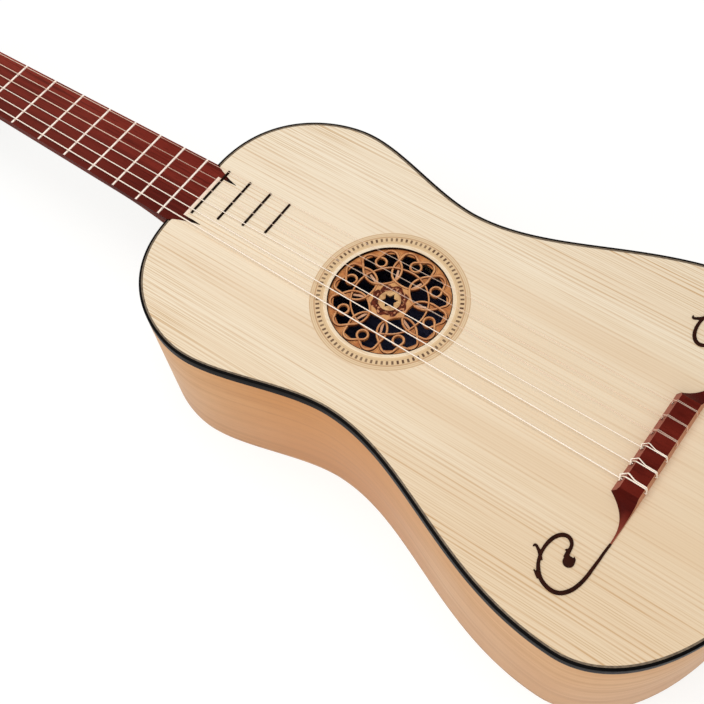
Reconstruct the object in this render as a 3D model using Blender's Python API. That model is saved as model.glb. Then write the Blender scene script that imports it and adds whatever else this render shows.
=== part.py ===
"""A baroque guitar with six single strings, lying on its back.

Metres, +Z up, +Y towards the head, +X towards the treble side. The instrument is
drawn about the point under the strings where they leave the bridge: y = 0 is the front
foot of the bridge, z = 0 is the top of the soundboard. An empty then carries every
piece, so that the origin ends up under the middle of the whole instrument.
"""
import math

import bpy
import bmesh
from mathutils import Matrix, Vector
from mathutils.geometry import delaunay_2d_cdt

# Clearances
GAP = 0.0003             # between two pieces that touch
PEG_PLAY = 0.00008       # running clearance of a peg in its hole
STRAND_GAP = 0.0006      # between two strands of one knot or winding

# Strings
SCALE_LENGTH = 0.650
STRING_COUNT = 6
NUT_SPREAD = 0.0420      # outer string to outer string
BRIDGE_SPREAD = 0.0643
STRING_DIAMETERS = (0.00071, 0.00082, 0.00102, 0.00074, 0.00089, 0.00109)
STRING_AT_NUT = 0.0020   # height of a string's middle over the soundboard plane
STRING_AT_BRIDGE = 0.0038
STRING_STRAIGHT_FROM = 0.0012   # in front of the bridge, where its knot is passed
KNOT_TUCK = 0.0006       # how far the loop passes below the bridge's top edge
KNOT_TAIL_RISE = 0.0012
WINDING_TURNS = 2.5
WINDING_STEPS = 12       # to a turn

# Body outline, half of it: half-widths, and distances down from the neck joint
BODY_DEPTH = 0.116
JOINT_FRET = 9.41        # where on the scale the neck meets the body, in frets
SHOULDER_FLAT = 0.030
UPPER_BOUT_HALF = 0.1156
UPPER_BOUT_DROP = 0.0842
WAIST_HALF = 0.0941
WAIST_DROP = 0.1934
LOWER_BOUT_HALF = 0.1483
LOWER_BOUT_DROP = 0.3953
BODY_L = 0.4855
SHOULDER_PULL = (0.0617, 0.0329)
UPPER_WAIST_PULL = (0.0329, 0.0338)
WAIST_LOWER_PULL = (0.0661, 0.0821)
TAIL_PULL = (0.0500, 0.0820)
OUTLINE_STEPS = 10

# Plates, ribs and what is inside the body
SOUNDBOARD_T = 0.0018
BACK_T = 0.0025
RIB_T = 0.0022
BINDING_W = 0.0030
BINDING_H = 0.0050
LINING_W = 0.0050
LINING_H = 0.0100
BLOCK_HALF_W = 0.032
NECK_BLOCK_L = 0.030
TAIL_BLOCK_L = 0.018
BAR_W = 0.006
BAR_H = 0.014
BAR_END_H = 0.005
BAR_SCALLOP = 0.035
TOP_BAR_DROPS = (0.0595, 0.1155, 0.2495)
BACK_BAR_DROPS = (0.0875, 0.3075)

# Sound hole, rose and rosette
ROSE_DROP = 0.1799       # from the neck joint down to the middle of the rose
HOLE_R = 0.0441
ROSE_R = 0.0480
ROSE_T = 0.0012
ROSETTE_IN_R = 0.0463
ROSETTE_OUT_R = 0.0566
ROSETTE_T = 0.0008
ROUND_STEPS = 48
PETALS = 8
PETAL_CENTRE_R = 0.0270
PETAL_R = 0.0137
STRAP_W = 0.0019
GARLAND_R = 0.0264
RING_CENTRE_R = 0.0326
RING_R = 0.0039
RING_STRAP_W = 0.0014
RIM_IN_R = 0.0396
HUB_R = 0.0130
BAR_IN_LENS_R = 0.0205
BAR_IN_LENS_HALF = 0.0030
STAR_POINTS = 6
STAR_OUT_R = 0.0044
STAR_IN_R = 0.0024

# Fretboard, frets and nut
FRETBOARD_T = 0.0050
BOARD_HALF_AT_NUT = 0.0240
BOARD_HALF_AT_BODY = 0.0293
TONGUE_L = 0.0072        # how far the board runs over the body before its square end
HORN_L = 0.0250          # how far the horns run over the body
HORN_TIP_X = 0.0216
HORN_IN_X = 0.0208
HORN_EDGE = ((0.0280, 0.0049), (0.0263, 0.0089), (0.0251, 0.0123), (0.0233, 0.0175))
METAL_FRETS = 9
FRET_W = 0.0019
FRET_H = 0.0009
TANG_W = 0.0006
TANG_H = 0.0014
WOOD_FRET_W = 0.0017
WOOD_FRET_H = 0.0011
WOOD_FRET_TREBLE_X = 0.0285
WOOD_FRET_BASS_X = (-0.0178, -0.0117, -0.0062, -0.0024)
NUT_T = 0.0050
NUT_TOP = 0.0026

# Neck and head
NECK_T_AT_NUT = 0.0155
NECK_T_AT_BODY = 0.0190
HEEL_L = 0.062
HEEL_BOTTOM = 0.0045     # height of the heel's foot over the back's plane
HEEL_FOOT_HALF = 0.013
HEEL_BEND = 2.4
NECK_SIDE_BEND = 0.75
NECK_BACK_BEND = 0.85
NECK_SECTION_STEPS = 14
HEAD_TILT = math.radians(8.0)
HEAD_L = 0.178
HEAD_T = 0.0125
FACING_T = 0.0020
HEAD_HALF_AT_NUT = 0.0250
HEAD_HALF_LOW = 0.0320
HEAD_HALF_TOP = 0.0380
EAR_L = 0.024
CROWN_L = 0.022
CROWN_HALF = 0.012

# Pegs
PEG_ROWS = (0.046, 0.094, 0.142)
PEG_OFFSETS = (0.0225, 0.0245, 0.0265)
PEG_R = 0.0040
POST_R = 0.0034
POST_H = 0.0160
POST_HOLE_R = 0.0009
POST_HOLE_H = 0.0115
SHANK_L = 0.010
COLLAR_R = 0.0055
COLLAR_T = 0.0022
PEG_EDGE = 0.0004        # the small chamfers at the post's tip and the collar
BUTTON_NECK_L = 0.0012
BUTTON_L = 0.0190
BUTTON_HALF_W = 0.0105
BUTTON_HALF_T = 0.0034
PEG_SIDES = 12

# Bridge and scrolls
BRIDGE_T = 0.0075
BRIDGE_FRONT_FOOT = 0.0010
BRIDGE_REAR_FOOT = -0.0177
BRIDGE_LEAN = 0.0036     # how far the front face leans in
BRIDGE_REAR_LEAN = 0.0026
BRIDGE_TURN = math.radians(-1.6)   # bridge and scrolls sit a little askew in the photo
BRIDGE_PIVOT_Y = -0.0080
BRIDGE_HALF = 0.0390
BRIDGE_CORNER_X = 0.0410  # where the front edge turns in
WING_TIP_X = 0.0714
WING_TIP_T = 0.0016
WING_TIP_Y = (-0.0159, -0.0172)
WING_FRONT_BEND = 2.9
WING_TOP_BEND = 6.0
WING_STEPS = 8
WING_SPACING = 1.4       # draws the stations together where the wing is steepest
WING_LEAN_LIMIT = 0.3    # of the wing's breadth
BRIDGE_EDGE = 0.25       # the chamfer along the top, as a share of the rear lean
TIE_HOLE_R = 0.0010
TIE_HOLE_SIDES = 10
SCROLL_T = 0.0012
SCROLL_PATH = (
    (0.0714, -0.0165, 0.0015), (0.0837, -0.0160, 0.0019), (0.0951, -0.0155, 0.0023),
    (0.1047, -0.0140, 0.0025), (0.1120, -0.0105, 0.0027), (0.1159, -0.0050, 0.0027),
    (0.1156, 0.0020, 0.0026), (0.1122, 0.0081, 0.0026), (0.1066, 0.0123, 0.0023),
    (0.0996, 0.0145, 0.0021), (0.0917, 0.0145, 0.0024), (0.0849, 0.0120, 0.0026),
    (0.0819, 0.0074, 0.0026), (0.0839, 0.0029, 0.0023), (0.0885, 0.0015, 0.0024),
    (0.0935, 0.0008, 0.0034),
)
SCROLL_TWIG = (
    (0.1040, 0.0120, 0.0020), (0.1001, 0.0156, 0.0020), (0.0979, 0.0189, 0.0017),
    (0.0981, 0.0204, 0.0014), (0.0993, 0.0207, 0.0008),
)
SCROLL_BALL = (0.0953, -0.0017, 0.0037)
SCROLL_BEAK = ((0.0930, -0.0038, 0.0020), (0.0907, -0.0031, 0.0005))
SCROLL_LEAF = ((0.0886, 0.0016, 0.0020), (0.0901, 0.0038, 0.0005))
SCROLL_THORN = ((0.1143, 0.0060, 0.0024), (0.1113, 0.0125, 0.0005))

# Places along the instrument that follow from the sizes above
NECK_JOINT_Y = SCALE_LENGTH * 2 ** (-JOINT_FRET / 12)
UPPER_BOUT = (UPPER_BOUT_HALF, NECK_JOINT_Y - UPPER_BOUT_DROP)
WAIST = (WAIST_HALF, NECK_JOINT_Y - WAIST_DROP)
LOWER_BOUT = (LOWER_BOUT_HALF, NECK_JOINT_Y - LOWER_BOUT_DROP)
TAIL_Y = NECK_JOINT_Y - BODY_L
ROSE_Y = NECK_JOINT_Y - ROSE_DROP
TONGUE_END_Y = NECK_JOINT_Y - TONGUE_L
HORN_TIP_Y = NECK_JOINT_Y - HORN_L
HEAD_START_Y = SCALE_LENGTH + NUT_T + 2 * GAP + FRETBOARD_T * math.tan(HEAD_TILT)
HEAD_TOP_Z = -0.0010
HEAD_END_Y = HEAD_START_Y + HEAD_L * math.cos(HEAD_TILT)
MIDDLE_Y = (TAIL_Y + HEAD_END_Y) / 2


def clear_scene():
    for thing in list(bpy.data.objects):
        bpy.data.objects.remove(thing, do_unlink=True)


def material(name, colour, roughness, metallic=0.0):
    made = bpy.data.materials.new(name)
    made.use_nodes = True
    shader = made.node_tree.nodes["Principled BSDF"]
    shader.inputs["Base Color"].default_value = (*colour, 1.0)
    shader.inputs["Roughness"].default_value = roughness
    shader.inputs["Metallic"].default_value = metallic
    made.diffuse_color = (*colour, 1.0)
    return made


FINISHES = {
    "spruce": ((0.85, 0.70, 0.48), 0.45),
    "rib_wood": ((0.62, 0.36, 0.18), 0.40),
    "black_wood": ((0.012, 0.010, 0.009), 0.35),
    "inner_wood": ((0.66, 0.52, 0.34), 0.60),
    "rosewood": ((0.11, 0.022, 0.012), 0.40),
    "rose_wood": ((0.45, 0.20, 0.07), 0.50),
    "rosette_wood": ((0.60, 0.45, 0.24), 0.50),
    "bone": ((0.85, 0.80, 0.68), 0.35),
    "peg_wood": ((0.035, 0.014, 0.009), 0.30),
    "gut": ((0.80, 0.72, 0.66), 0.25),
    "metal": ((0.75, 0.72, 0.66), 0.28),
}


def finish(mesh, name, kind, carrier, metallic=0.0, smooth=None):
    """Make an object of a mesh, with a material of its own, on the carrying empty."""
    made = bpy.data.objects.new(name, mesh)
    bpy.context.scene.collection.objects.link(made)
    colour, roughness = FINISHES[kind]
    mesh.materials.append(material(name + "_finish", colour, roughness, metallic))
    if smooth is not None:
        mesh.shade_smooth()
        mesh.set_sharp_from_angle(angle=math.radians(smooth))
    made.parent = carrier
    return made


def mesh_from(bm, name):
    bmesh.ops.recalc_face_normals(bm, faces=bm.faces[:])
    mesh = bpy.data.meshes.new(name)
    bm.to_mesh(mesh)
    bm.free()
    return mesh


def area_of(loop):
    return 0.5 * sum(a[0] * b[1] - b[0] * a[1] for a, b in zip(loop, loop[1:] + loop[:1]))


def prism(loop, low, high, name, place=None):
    """Extrude a flat outline between two heights."""
    bm = bmesh.new()
    floor = [bm.verts.new((x, y, low)) for x, y in loop]
    roof = [bm.verts.new((x, y, high)) for x, y in loop]
    bm.faces.new(floor)
    bm.faces.new(roof)
    count = len(loop)
    for i in range(count):
        j = (i + 1) % count
        bm.faces.new((floor[i], floor[j], roof[j], roof[i]))
    if place is not None:
        bmesh.ops.transform(bm, matrix=place, verts=bm.verts[:])
    return mesh_from(bm, name)


def prism_along_x(section, x_low, x_high, name):
    """Extrude a (y, z) section along x."""
    turn = Matrix(((0, 0, 1, 0), (1, 0, 0, 0), (0, 1, 0, 0), (0, 0, 0, 1)))
    return prism(section, x_low, x_high, name, turn)


def prism_along_y(section, y_low, y_high, name):
    """Extrude an (x, z) section along y."""
    turn = Matrix(((1, 0, 0, 0), (0, 0, 1, 0), (0, 1, 0, 0), (0, 0, 0, 1)))
    return prism(section, y_low, y_high, name, turn)


def flat_solid(pieces, low, high, name, keep=None, place=None):
    """Join overlapping flat convex pieces into one plate.

    keep, if given, says of a point whether the plate is solid there; without it the
    plate is solid wherever a piece is.
    """
    points = []
    faces = []
    for piece in pieces:
        loop = list(piece) if area_of(list(piece)) > 0 else list(reversed(piece))
        start = len(points)
        points += [Vector((x, y)) for x, y in loop]
        faces.append(list(range(start, start + len(loop))))
    verts, _, tris, _, _, origins = delaunay_2d_cdt(points, [], faces, 1, 1e-7)
    solid = []
    for tri, origin in zip(tris, origins):
        middle = sum((verts[i] for i in tri), Vector((0.0, 0.0))) / len(tri)
        if keep(middle.x, middle.y, bool(origin)) if keep else bool(origin):
            solid.append(tuple(tri))
    bm = bmesh.new()
    used = sorted({i for tri in solid for i in tri})
    floor = {i: bm.verts.new((verts[i].x, verts[i].y, low)) for i in used}
    for tri in solid:
        bm.faces.new([floor[i] for i in tri])
    bmesh.ops.dissolve_limit(bm, angle_limit=math.radians(1.0), verts=bm.verts[:],
                             edges=bm.edges[:], use_dissolve_boundaries=False)
    raised = bmesh.ops.extrude_face_region(bm, geom=bm.faces[:], use_keep_orig=True)
    lifted = [v for v in raised["geom"] if isinstance(v, bmesh.types.BMVert)]
    bmesh.ops.translate(bm, vec=(0, 0, high - low), verts=lifted)
    if place is not None:
        bmesh.ops.transform(bm, matrix=place, verts=bm.verts[:])
    return mesh_from(bm, name)


def circle(x, y, radius, steps, start=0.0):
    return [(x + radius * math.cos(start + math.tau * i / steps),
             y + radius * math.sin(start + math.tau * i / steps)) for i in range(steps)]


def ring_pieces(x, y, radius, width, steps, start=0.0):
    """The quads of a flat ring."""
    outer = circle(x, y, radius + width / 2, steps, start)
    inner = circle(x, y, radius - width / 2, steps, start)
    return [(inner[i], outer[i], outer[(i + 1) % steps], inner[(i + 1) % steps])
            for i in range(steps)]


def plate_with_holes(outline, holes, low, high, name, place=None):
    """A flat plate with round or straight-sided holes through it."""
    points = []
    edges = []
    for loop in [outline] + holes:
        start = len(points)
        points += [Vector(p) for p in loop]
        edges += [(start + i, start + (i + 1) % len(loop)) for i in range(len(loop))]
    verts, _, tris, _, _, _ = delaunay_2d_cdt(points, edges, [], 1, 1e-7)

    def inside(x, y, loop):
        hit = False
        for (ax, ay), (bx, by) in zip(loop, loop[1:] + loop[:1]):
            if (ay > y) != (by > y) and x < (bx - ax) * (y - ay) / (by - ay) + ax:
                hit = not hit
        return hit

    bm = bmesh.new()
    made = {}
    for tri in tris:
        middle = sum((verts[i] for i in tri), Vector((0.0, 0.0))) / 3
        if not inside(middle.x, middle.y, outline):
            continue
        if any(inside(middle.x, middle.y, hole) for hole in holes):
            continue
        for i in tri:
            if i not in made:
                made[i] = bm.verts.new((verts[i].x, verts[i].y, low))
        bm.faces.new([made[i] for i in tri])
    raised = bmesh.ops.extrude_face_region(bm, geom=bm.faces[:], use_keep_orig=True)
    lifted = [v for v in raised["geom"] if isinstance(v, bmesh.types.BMVert)]
    bmesh.ops.translate(bm, vec=(0, 0, high - low), verts=lifted)
    if place is not None:
        bmesh.ops.transform(bm, matrix=place, verts=bm.verts[:])
    return mesh_from(bm, name)


def cut(target, cutter_mesh, carrier):
    """Take one mesh away from an object."""
    tool = bpy.data.objects.new(target.name + "_cutter", cutter_mesh)
    bpy.context.scene.collection.objects.link(tool)
    tool.parent = carrier
    tool.hide_render = True
    tool.display_type = "WIRE"
    step = target.modifiers.new("cut", "BOOLEAN")
    step.operation = "DIFFERENCE"
    step.solver = "EXACT"
    step.object = tool


def joined(meshes, name):
    """Several separate meshes in one."""
    bm = bmesh.new()
    for mesh in meshes:
        bm.from_mesh(mesh)
    return mesh_from(bm, name)


# Body outline

def bezier(a, b, c, d, steps):
    made = []
    for i in range(steps):
        t = i / steps
        s = 1 - t
        made.append(tuple(s ** 3 * p + 3 * s * s * t * q + 3 * s * t * t * r + t ** 3 * w
                          for p, q, r, w in zip(a, b, c, d)))
    return made


def half_outline():
    """From the middle of the neck joint round the treble side to the tail."""
    shoulder = (SHOULDER_FLAT, NECK_JOINT_Y)
    points = [(0.0, NECK_JOINT_Y)]
    points += bezier(shoulder, (SHOULDER_FLAT + SHOULDER_PULL[0], NECK_JOINT_Y),
                     (UPPER_BOUT[0], UPPER_BOUT[1] + SHOULDER_PULL[1]), UPPER_BOUT,
                     OUTLINE_STEPS)
    points += bezier(UPPER_BOUT, (UPPER_BOUT[0], UPPER_BOUT[1] - UPPER_WAIST_PULL[0]),
                     (WAIST[0], WAIST[1] + UPPER_WAIST_PULL[1]), WAIST, OUTLINE_STEPS)
    points += bezier(WAIST, (WAIST[0], WAIST[1] - WAIST_LOWER_PULL[0]),
                     (LOWER_BOUT[0], LOWER_BOUT[1] + WAIST_LOWER_PULL[1]), LOWER_BOUT,
                     OUTLINE_STEPS)
    points += bezier(LOWER_BOUT, (LOWER_BOUT[0], LOWER_BOUT[1] - TAIL_PULL[0]),
                     (TAIL_PULL[1], TAIL_Y), (0.0, TAIL_Y), OUTLINE_STEPS)
    points.append((0.0, TAIL_Y))
    return points


def body_loop(inset):
    """The closed outline, moved inwards by inset, starting at the neck joint's middle."""
    half = half_outline()
    whole = half + [(-x, y) for x, y in reversed(half[1:-1])]
    count = len(whole)
    moved = []
    for i, (x, y) in enumerate(whole):
        ax, ay = whole[i - 1]
        bx, by = whole[(i + 1) % count]
        u = Vector((x - ax, y - ay)).normalized()
        v = Vector((bx - x, by - y)).normalized()
        # the outline runs clockwise, so its inner side is on the right
        normal = (Vector((u.y, -u.x)) + Vector((v.y, -v.x))).normalized()
        stretch = inset / max(normal.dot(Vector((u.y, -u.x))), 0.2)
        moved.append((x + normal.x * stretch, y + normal.y * stretch))
    return moved


def treble_run(inset, neck_x, tail_x):
    """The treble half of the outline, cut off square at an x at either end."""
    loop = body_loop(inset)
    half = loop[:len(loop) // 2 + 1]

    def crossing(a, b, x):
        t = (x - a[0]) / (b[0] - a[0])
        return (x, a[1] + t * (b[1] - a[1]))

    first = next(i for i, p in enumerate(half) if p[0] > neck_x)
    last = max(i for i, p in enumerate(half) if p[0] > tail_x)
    return ([crossing(half[first - 1], half[first], neck_x)] + half[first:last + 1]
            + [crossing(half[last], half[last + 1], tail_x)])


def side_strip(name, side, inset, width, neck_x, tail_x, low, high):
    """A bent strip that follows the outline on one side of the body."""
    outer = treble_run(inset, neck_x, tail_x)
    inner = treble_run(inset + width, neck_x, tail_x)
    loop = [(side * x, y) for x, y in outer + inner[::-1]]
    return prism(loop, low, high, name)


def half_width(y, inset):
    """Half the width of the outline at a height along the body."""
    loop = body_loop(inset)
    half = loop[:len(loop) // 2 + 1]
    for (ax, ay), (bx, by) in zip(half, half[1:]):
        if ay > y >= by and ay != by:
            return ax + (bx - ax) * (ay - y) / (ay - by)
    return 0.0


def tail_edge(x, inset):
    """Where the outline runs behind a point beside the middle of the tail."""
    loop = body_loop(inset)
    half = loop[:len(loop) // 2 + 1]
    for (ax, ay), (bx, by) in reversed(list(zip(half, half[1:]))):
        if ax >= x >= bx and ax != bx:
            return ay + (by - ay) * (ax - x) / (ax - bx)
    return 0.0


def board_half(y):
    """Half the width of the fretboard."""
    share = (SCALE_LENGTH - y) / (SCALE_LENGTH - NECK_JOINT_Y)
    return BOARD_HALF_AT_NUT + (BOARD_HALF_AT_BODY - BOARD_HALF_AT_NUT) * share


def tongue_edge(clearance):
    """The treble edge of the fretboard's tongue, from its root to the middle line."""
    root = (board_half(NECK_JOINT_Y) + clearance, NECK_JOINT_Y)
    outer = [(x + clearance, NECK_JOINT_Y - drop) for x, drop in HORN_EDGE]
    tip = [(HORN_TIP_X + clearance, HORN_TIP_Y - clearance),
           (HORN_TIP_X - clearance, HORN_TIP_Y - clearance)]
    inner = [(HORN_IN_X - clearance, HORN_TIP_Y + 0.4 * (TONGUE_END_Y - HORN_TIP_Y)),
             (HORN_IN_X - clearance, TONGUE_END_Y - clearance)]
    return [root] + outer + tip + inner


def mirrored(edge):
    return [(-x, y) for x, y in reversed(edge)]


def make_soundboard(carrier):
    inset = BINDING_W + GAP
    loop = body_loop(inset)
    edge_y = NECK_JOINT_Y - inset
    notch = [p for p in tongue_edge(GAP) if p[1] < edge_y]
    root_x = board_half(NECK_JOINT_Y) + GAP
    half = loop[:len(loop) // 2 + 1]
    first = next(i for i, p in enumerate(half) if p[0] > root_x)
    ax, ay = half[first - 1]
    bx, by = half[first]
    entry = (root_x, ay + (by - ay) * (root_x - ax) / (bx - ax))
    treble = [entry] + half[first:]
    outline = treble + mirrored(treble)[1:] + [(-x, y) for x, y in notch] + notch[::-1]
    hole = circle(0.0, ROSE_Y, HOLE_R, ROUND_STEPS)
    mesh = plate_with_holes(outline, [hole], -SOUNDBOARD_T, 0.0, "soundboard")
    board = finish(mesh, "soundboard", "spruce", carrier)
    channel = plate_with_holes(circle(0.0, ROSE_Y, ROSETTE_OUT_R + GAP, ROUND_STEPS),
                               [circle(0.0, ROSE_Y, ROSETTE_IN_R - GAP, ROUND_STEPS)],
                               -ROSETTE_T - GAP, ROSETTE_T, "channel")
    cut(board, channel, carrier)


def make_rosette(carrier):
    mesh = plate_with_holes(circle(0.0, ROSE_Y, ROSETTE_OUT_R, ROUND_STEPS),
                            [circle(0.0, ROSE_Y, ROSETTE_IN_R, ROUND_STEPS)],
                            -ROSETTE_T, 0.0, "rosette")
    finish(mesh, "rosette", "rosette_wood", carrier)


def make_rose(carrier):
    """The pierced rose: petals, a garland, small rings, a rim and a hub with a star."""
    step = math.tau / PETALS
    centres = [(PETAL_CENTRE_R * math.cos(step * k), PETAL_CENTRE_R * math.sin(step * k))
               for k in range(PETALS)]
    pieces = []
    for k, (x, y) in enumerate(centres):
        turn = step * k
        pieces += ring_pieces(x, y, PETAL_R, STRAP_W, 28, turn)
        out = RING_CENTRE_R / PETAL_CENTRE_R
        pieces += ring_pieces(x * out, y * out, RING_R, RING_STRAP_W, 10, turn)
        along = Vector((math.cos(turn), math.sin(turn)))
        across = Vector((-along.y, along.x)) * RING_STRAP_W / 2
        near = along * (RING_CENTRE_R + RING_R)
        far = along * (RIM_IN_R + RING_STRAP_W)
        pieces.append([tuple(p) for p in (near - across, far - across,
                                          far + across, near + across)])
        between = Vector((math.cos(turn + step / 2), math.sin(turn + step / 2)))
        reach = Vector((-between.y, between.x)) * BAR_IN_LENS_HALF
        low = between * (BAR_IN_LENS_R - RING_STRAP_W / 2)
        high = between * (BAR_IN_LENS_R + RING_STRAP_W / 2)
        pieces.append([tuple(p) for p in (low - reach, high - reach,
                                          high + reach, low + reach)])
    pieces += ring_pieces(0.0, 0.0, GARLAND_R, RING_STRAP_W, 48)
    rim = (RIM_IN_R + ROSE_R) / 2
    pieces += ring_pieces(0.0, 0.0, rim, ROSE_R - RIM_IN_R, 48)
    pieces += ring_pieces(0.0, 0.0, (HUB_R + STAR_OUT_R * 1.2) / 2,
                          HUB_R - STAR_OUT_R * 1.2, 32)
    star = [(r * math.cos(a), r * math.sin(a)) for a, r in
            ((math.pi * i / STAR_POINTS, STAR_IN_R if i % 2 else STAR_OUT_R)
             for i in range(2 * STAR_POINTS))]
    for i in range(2 * STAR_POINTS):
        pieces.append([(0.0, 0.0), star[i], star[(i + 1) % (2 * STAR_POINTS)]])

    def in_star(x, y):
        angle = math.atan2(y, x) % (math.tau / STAR_POINTS)
        half = math.pi / STAR_POINTS
        angle = min(angle, math.tau / STAR_POINTS - angle)
        ax, ay = STAR_OUT_R, 0.0
        bx, by = STAR_IN_R * math.cos(half), STAR_IN_R * math.sin(half)
        r = math.hypot(x, y)
        px, py = r * math.cos(angle), r * math.sin(angle)
        return (bx - ax) * (py - ay) - (by - ay) * (px - ax) > 0

    def keep(x, y, covered):
        r = math.hypot(x, y)
        if r < STAR_OUT_R * 1.05:
            return not in_star(x, y)
        if covered or r < HUB_R:
            return True
        inside = sum(math.hypot(x - cx, y - cy) < PETAL_R for cx, cy in centres)
        if inside == 0:
            return True
        if inside == 2:
            return r > GARLAND_R or r < BAR_IN_LENS_R
        return False

    place = Matrix.Translation((0.0, ROSE_Y, 0.0))
    top = -SOUNDBOARD_T - GAP
    mesh = flat_solid(pieces, top - ROSE_T, top, "rose", keep, place)
    finish(mesh, "rose", "rose_wood", carrier)


def make_shell(carrier):
    """Back, ribs, bindings, linings, blocks and bars."""
    back_top = -BODY_DEPTH + BACK_T
    finish(prism(body_loop(0.0), -BODY_DEPTH, back_top, "back"), "back", "rib_wood", carrier)
    lining_inset = RIB_T + GAP
    sides = (("bass", -1), ("treble", 1))
    for word, side in sides:
        name = "rib_" + word
        mesh = side_strip(name, side, 0.0, RIB_T, GAP / 2, GAP / 2,
                          back_top + GAP, -BINDING_H - GAP)
        finish(mesh, name, "rib_wood", carrier, smooth=30)
        name = "binding_" + word
        mesh = side_strip(name, side, 0.0, BINDING_W, board_half(NECK_JOINT_Y) + GAP,
                          GAP / 2, -BINDING_H, 0.0)
        finish(mesh, name, "black_wood", carrier, smooth=30)
        name = "top_lining_" + word
        top = -SOUNDBOARD_T - GAP
        mesh = side_strip(name, side, max(lining_inset, BINDING_W + GAP), LINING_W,
                          BLOCK_HALF_W + GAP, BLOCK_HALF_W + GAP, top - LINING_H, top)
        finish(mesh, name, "inner_wood", carrier)
        name = "back_lining_" + word
        low = back_top + GAP
        mesh = side_strip(name, side, lining_inset, LINING_W, BLOCK_HALF_W + GAP,
                          BLOCK_HALF_W + GAP, low, low + LINING_H)
        finish(mesh, name, "inner_wood", carrier)
    make_blocks(carrier, back_top + GAP, -SOUNDBOARD_T - GAP)
    make_bars(carrier, back_top + GAP, -SOUNDBOARD_T - GAP)


def make_blocks(carrier, low, high):
    front = NECK_JOINT_Y - max(RIB_T, BINDING_W) - GAP
    loop = [(-BLOCK_HALF_W, front - NECK_BLOCK_L), (BLOCK_HALF_W, front - NECK_BLOCK_L),
            (BLOCK_HALF_W, front), (-BLOCK_HALF_W, front)]
    finish(prism(loop, low, high, "neck_block"), "neck_block", "inner_wood", carrier)
    inset = max(RIB_T, BINDING_W) + GAP
    steps = 6
    edge = [(BLOCK_HALF_W * (1 - 2 * i / steps)) for i in range(steps + 1)]
    rear = [(x, tail_edge(abs(x), inset) + GAP / 2) for x in edge]
    inner_y = TAIL_Y + inset + TAIL_BLOCK_L
    loop = [(-BLOCK_HALF_W, inner_y), (BLOCK_HALF_W, inner_y)] + rear
    finish(prism(loop, low, high, "tail_block"), "tail_block", "inner_wood", carrier)


def bar_section(half, low, high, upright):
    """A bar's side view, thinned at both ends, standing on low or hanging from high."""
    run = min(BAR_SCALLOP, half / 2)
    if upright:
        return [(-half, low), (half, low), (half, low + BAR_END_H), (half - run, high),
                (-half + run, high), (-half, low + BAR_END_H)]
    return [(-half, high), (-half, high - BAR_END_H), (-half + run, low),
            (half - run, low), (half, high - BAR_END_H), (half, high)]


def make_bars(carrier, floor, ceiling):
    top_inset = max(RIB_T, BINDING_W) + LINING_W + 2 * GAP
    back_inset = RIB_T + LINING_W + 2 * GAP
    for i, drop in enumerate(TOP_BAR_DROPS):
        y = NECK_JOINT_Y - drop
        name = "top_bar_%d" % (i + 1)
        half = min(half_width(y + s * BAR_W / 2, top_inset) for s in (-1, 1)) - GAP
        section = bar_section(half, ceiling - BAR_H, ceiling, False)
        mesh = prism_along_y(section, y - BAR_W / 2, y + BAR_W / 2, name)
        finish(mesh, name, "inner_wood", carrier)
    for i, drop in enumerate(BACK_BAR_DROPS):
        y = NECK_JOINT_Y - drop
        name = "back_bar_%d" % (i + 1)
        half = min(half_width(y + s * BAR_W / 2, back_inset) for s in (-1, 1)) - GAP
        section = bar_section(half, floor, floor + BAR_H, True)
        mesh = prism_along_y(section, y - BAR_W / 2, y + BAR_W / 2, name)
        finish(mesh, name, "inner_wood", carrier)


# Fretboard, frets and nut

def fret_y(number):
    return SCALE_LENGTH * 2 ** (-number / 12)


def make_fretboard(carrier):
    edge = tongue_edge(0.0)
    end_y = SCALE_LENGTH - GAP
    loop = [(board_half(end_y), end_y)] + edge + [(-x, y) for x, y in reversed(edge)]
    loop += [(-board_half(end_y), end_y)]
    mesh = prism(loop, -FRETBOARD_T, 0.0, "fretboard")
    board = finish(mesh, "fretboard", "rosewood", carrier)
    under_y = NECK_JOINT_Y - RIB_T
    reach = 2 * BOARD_HALF_AT_BODY
    cutters = [prism([(-reach, HORN_TIP_Y - reach), (reach, HORN_TIP_Y - reach),
                      (reach, under_y), (-reach, under_y)],
                     -2 * FRETBOARD_T, -SOUNDBOARD_T, "under")]
    slot_half = TANG_W / 2 + GAP
    for number in range(1, METAL_FRETS + 1):
        y = fret_y(number)
        cutters.append(prism([(-reach, y - slot_half), (reach, y - slot_half),
                              (reach, y + slot_half), (-reach, y + slot_half)],
                             -TANG_H - GAP, FRETBOARD_T, "slot"))
    cut(board, joined(cutters, "fretboard_cuts"), carrier)


def make_frets(carrier):
    tang = TANG_W / 2
    crown = [(tang, -TANG_H), (tang, GAP)]
    steps = 6
    for i in range(steps + 1):
        angle = math.pi * i / steps
        crown.append((FRET_W / 2 * math.cos(angle), GAP + FRET_H * math.sin(angle)))
    crown += [(-tang, GAP), (-tang, -TANG_H)]
    for number in range(1, METAL_FRETS + 1):
        y = fret_y(number)
        half = board_half(y) - GAP
        name = "fret_%d" % number
        section = [(y + dy, z) for dy, z in crown]
        mesh = prism_along_x(section, -half, half, name)
        finish(mesh, name, "metal", carrier, metallic=1.0)
    for i, bass_x in enumerate(WOOD_FRET_BASS_X):
        number = METAL_FRETS + 1 + i
        y = fret_y(number)
        name = "wooden_fret_%d" % number
        half = WOOD_FRET_W / 2
        section = [(y - half, GAP), (y + half, GAP), (y + 0.6 * half, GAP + WOOD_FRET_H),
                   (y - 0.6 * half, GAP + WOOD_FRET_H)]
        mesh = prism_along_x(section, bass_x, WOOD_FRET_TREBLE_X, name)
        finish(mesh, name, "black_wood", carrier)


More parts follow.
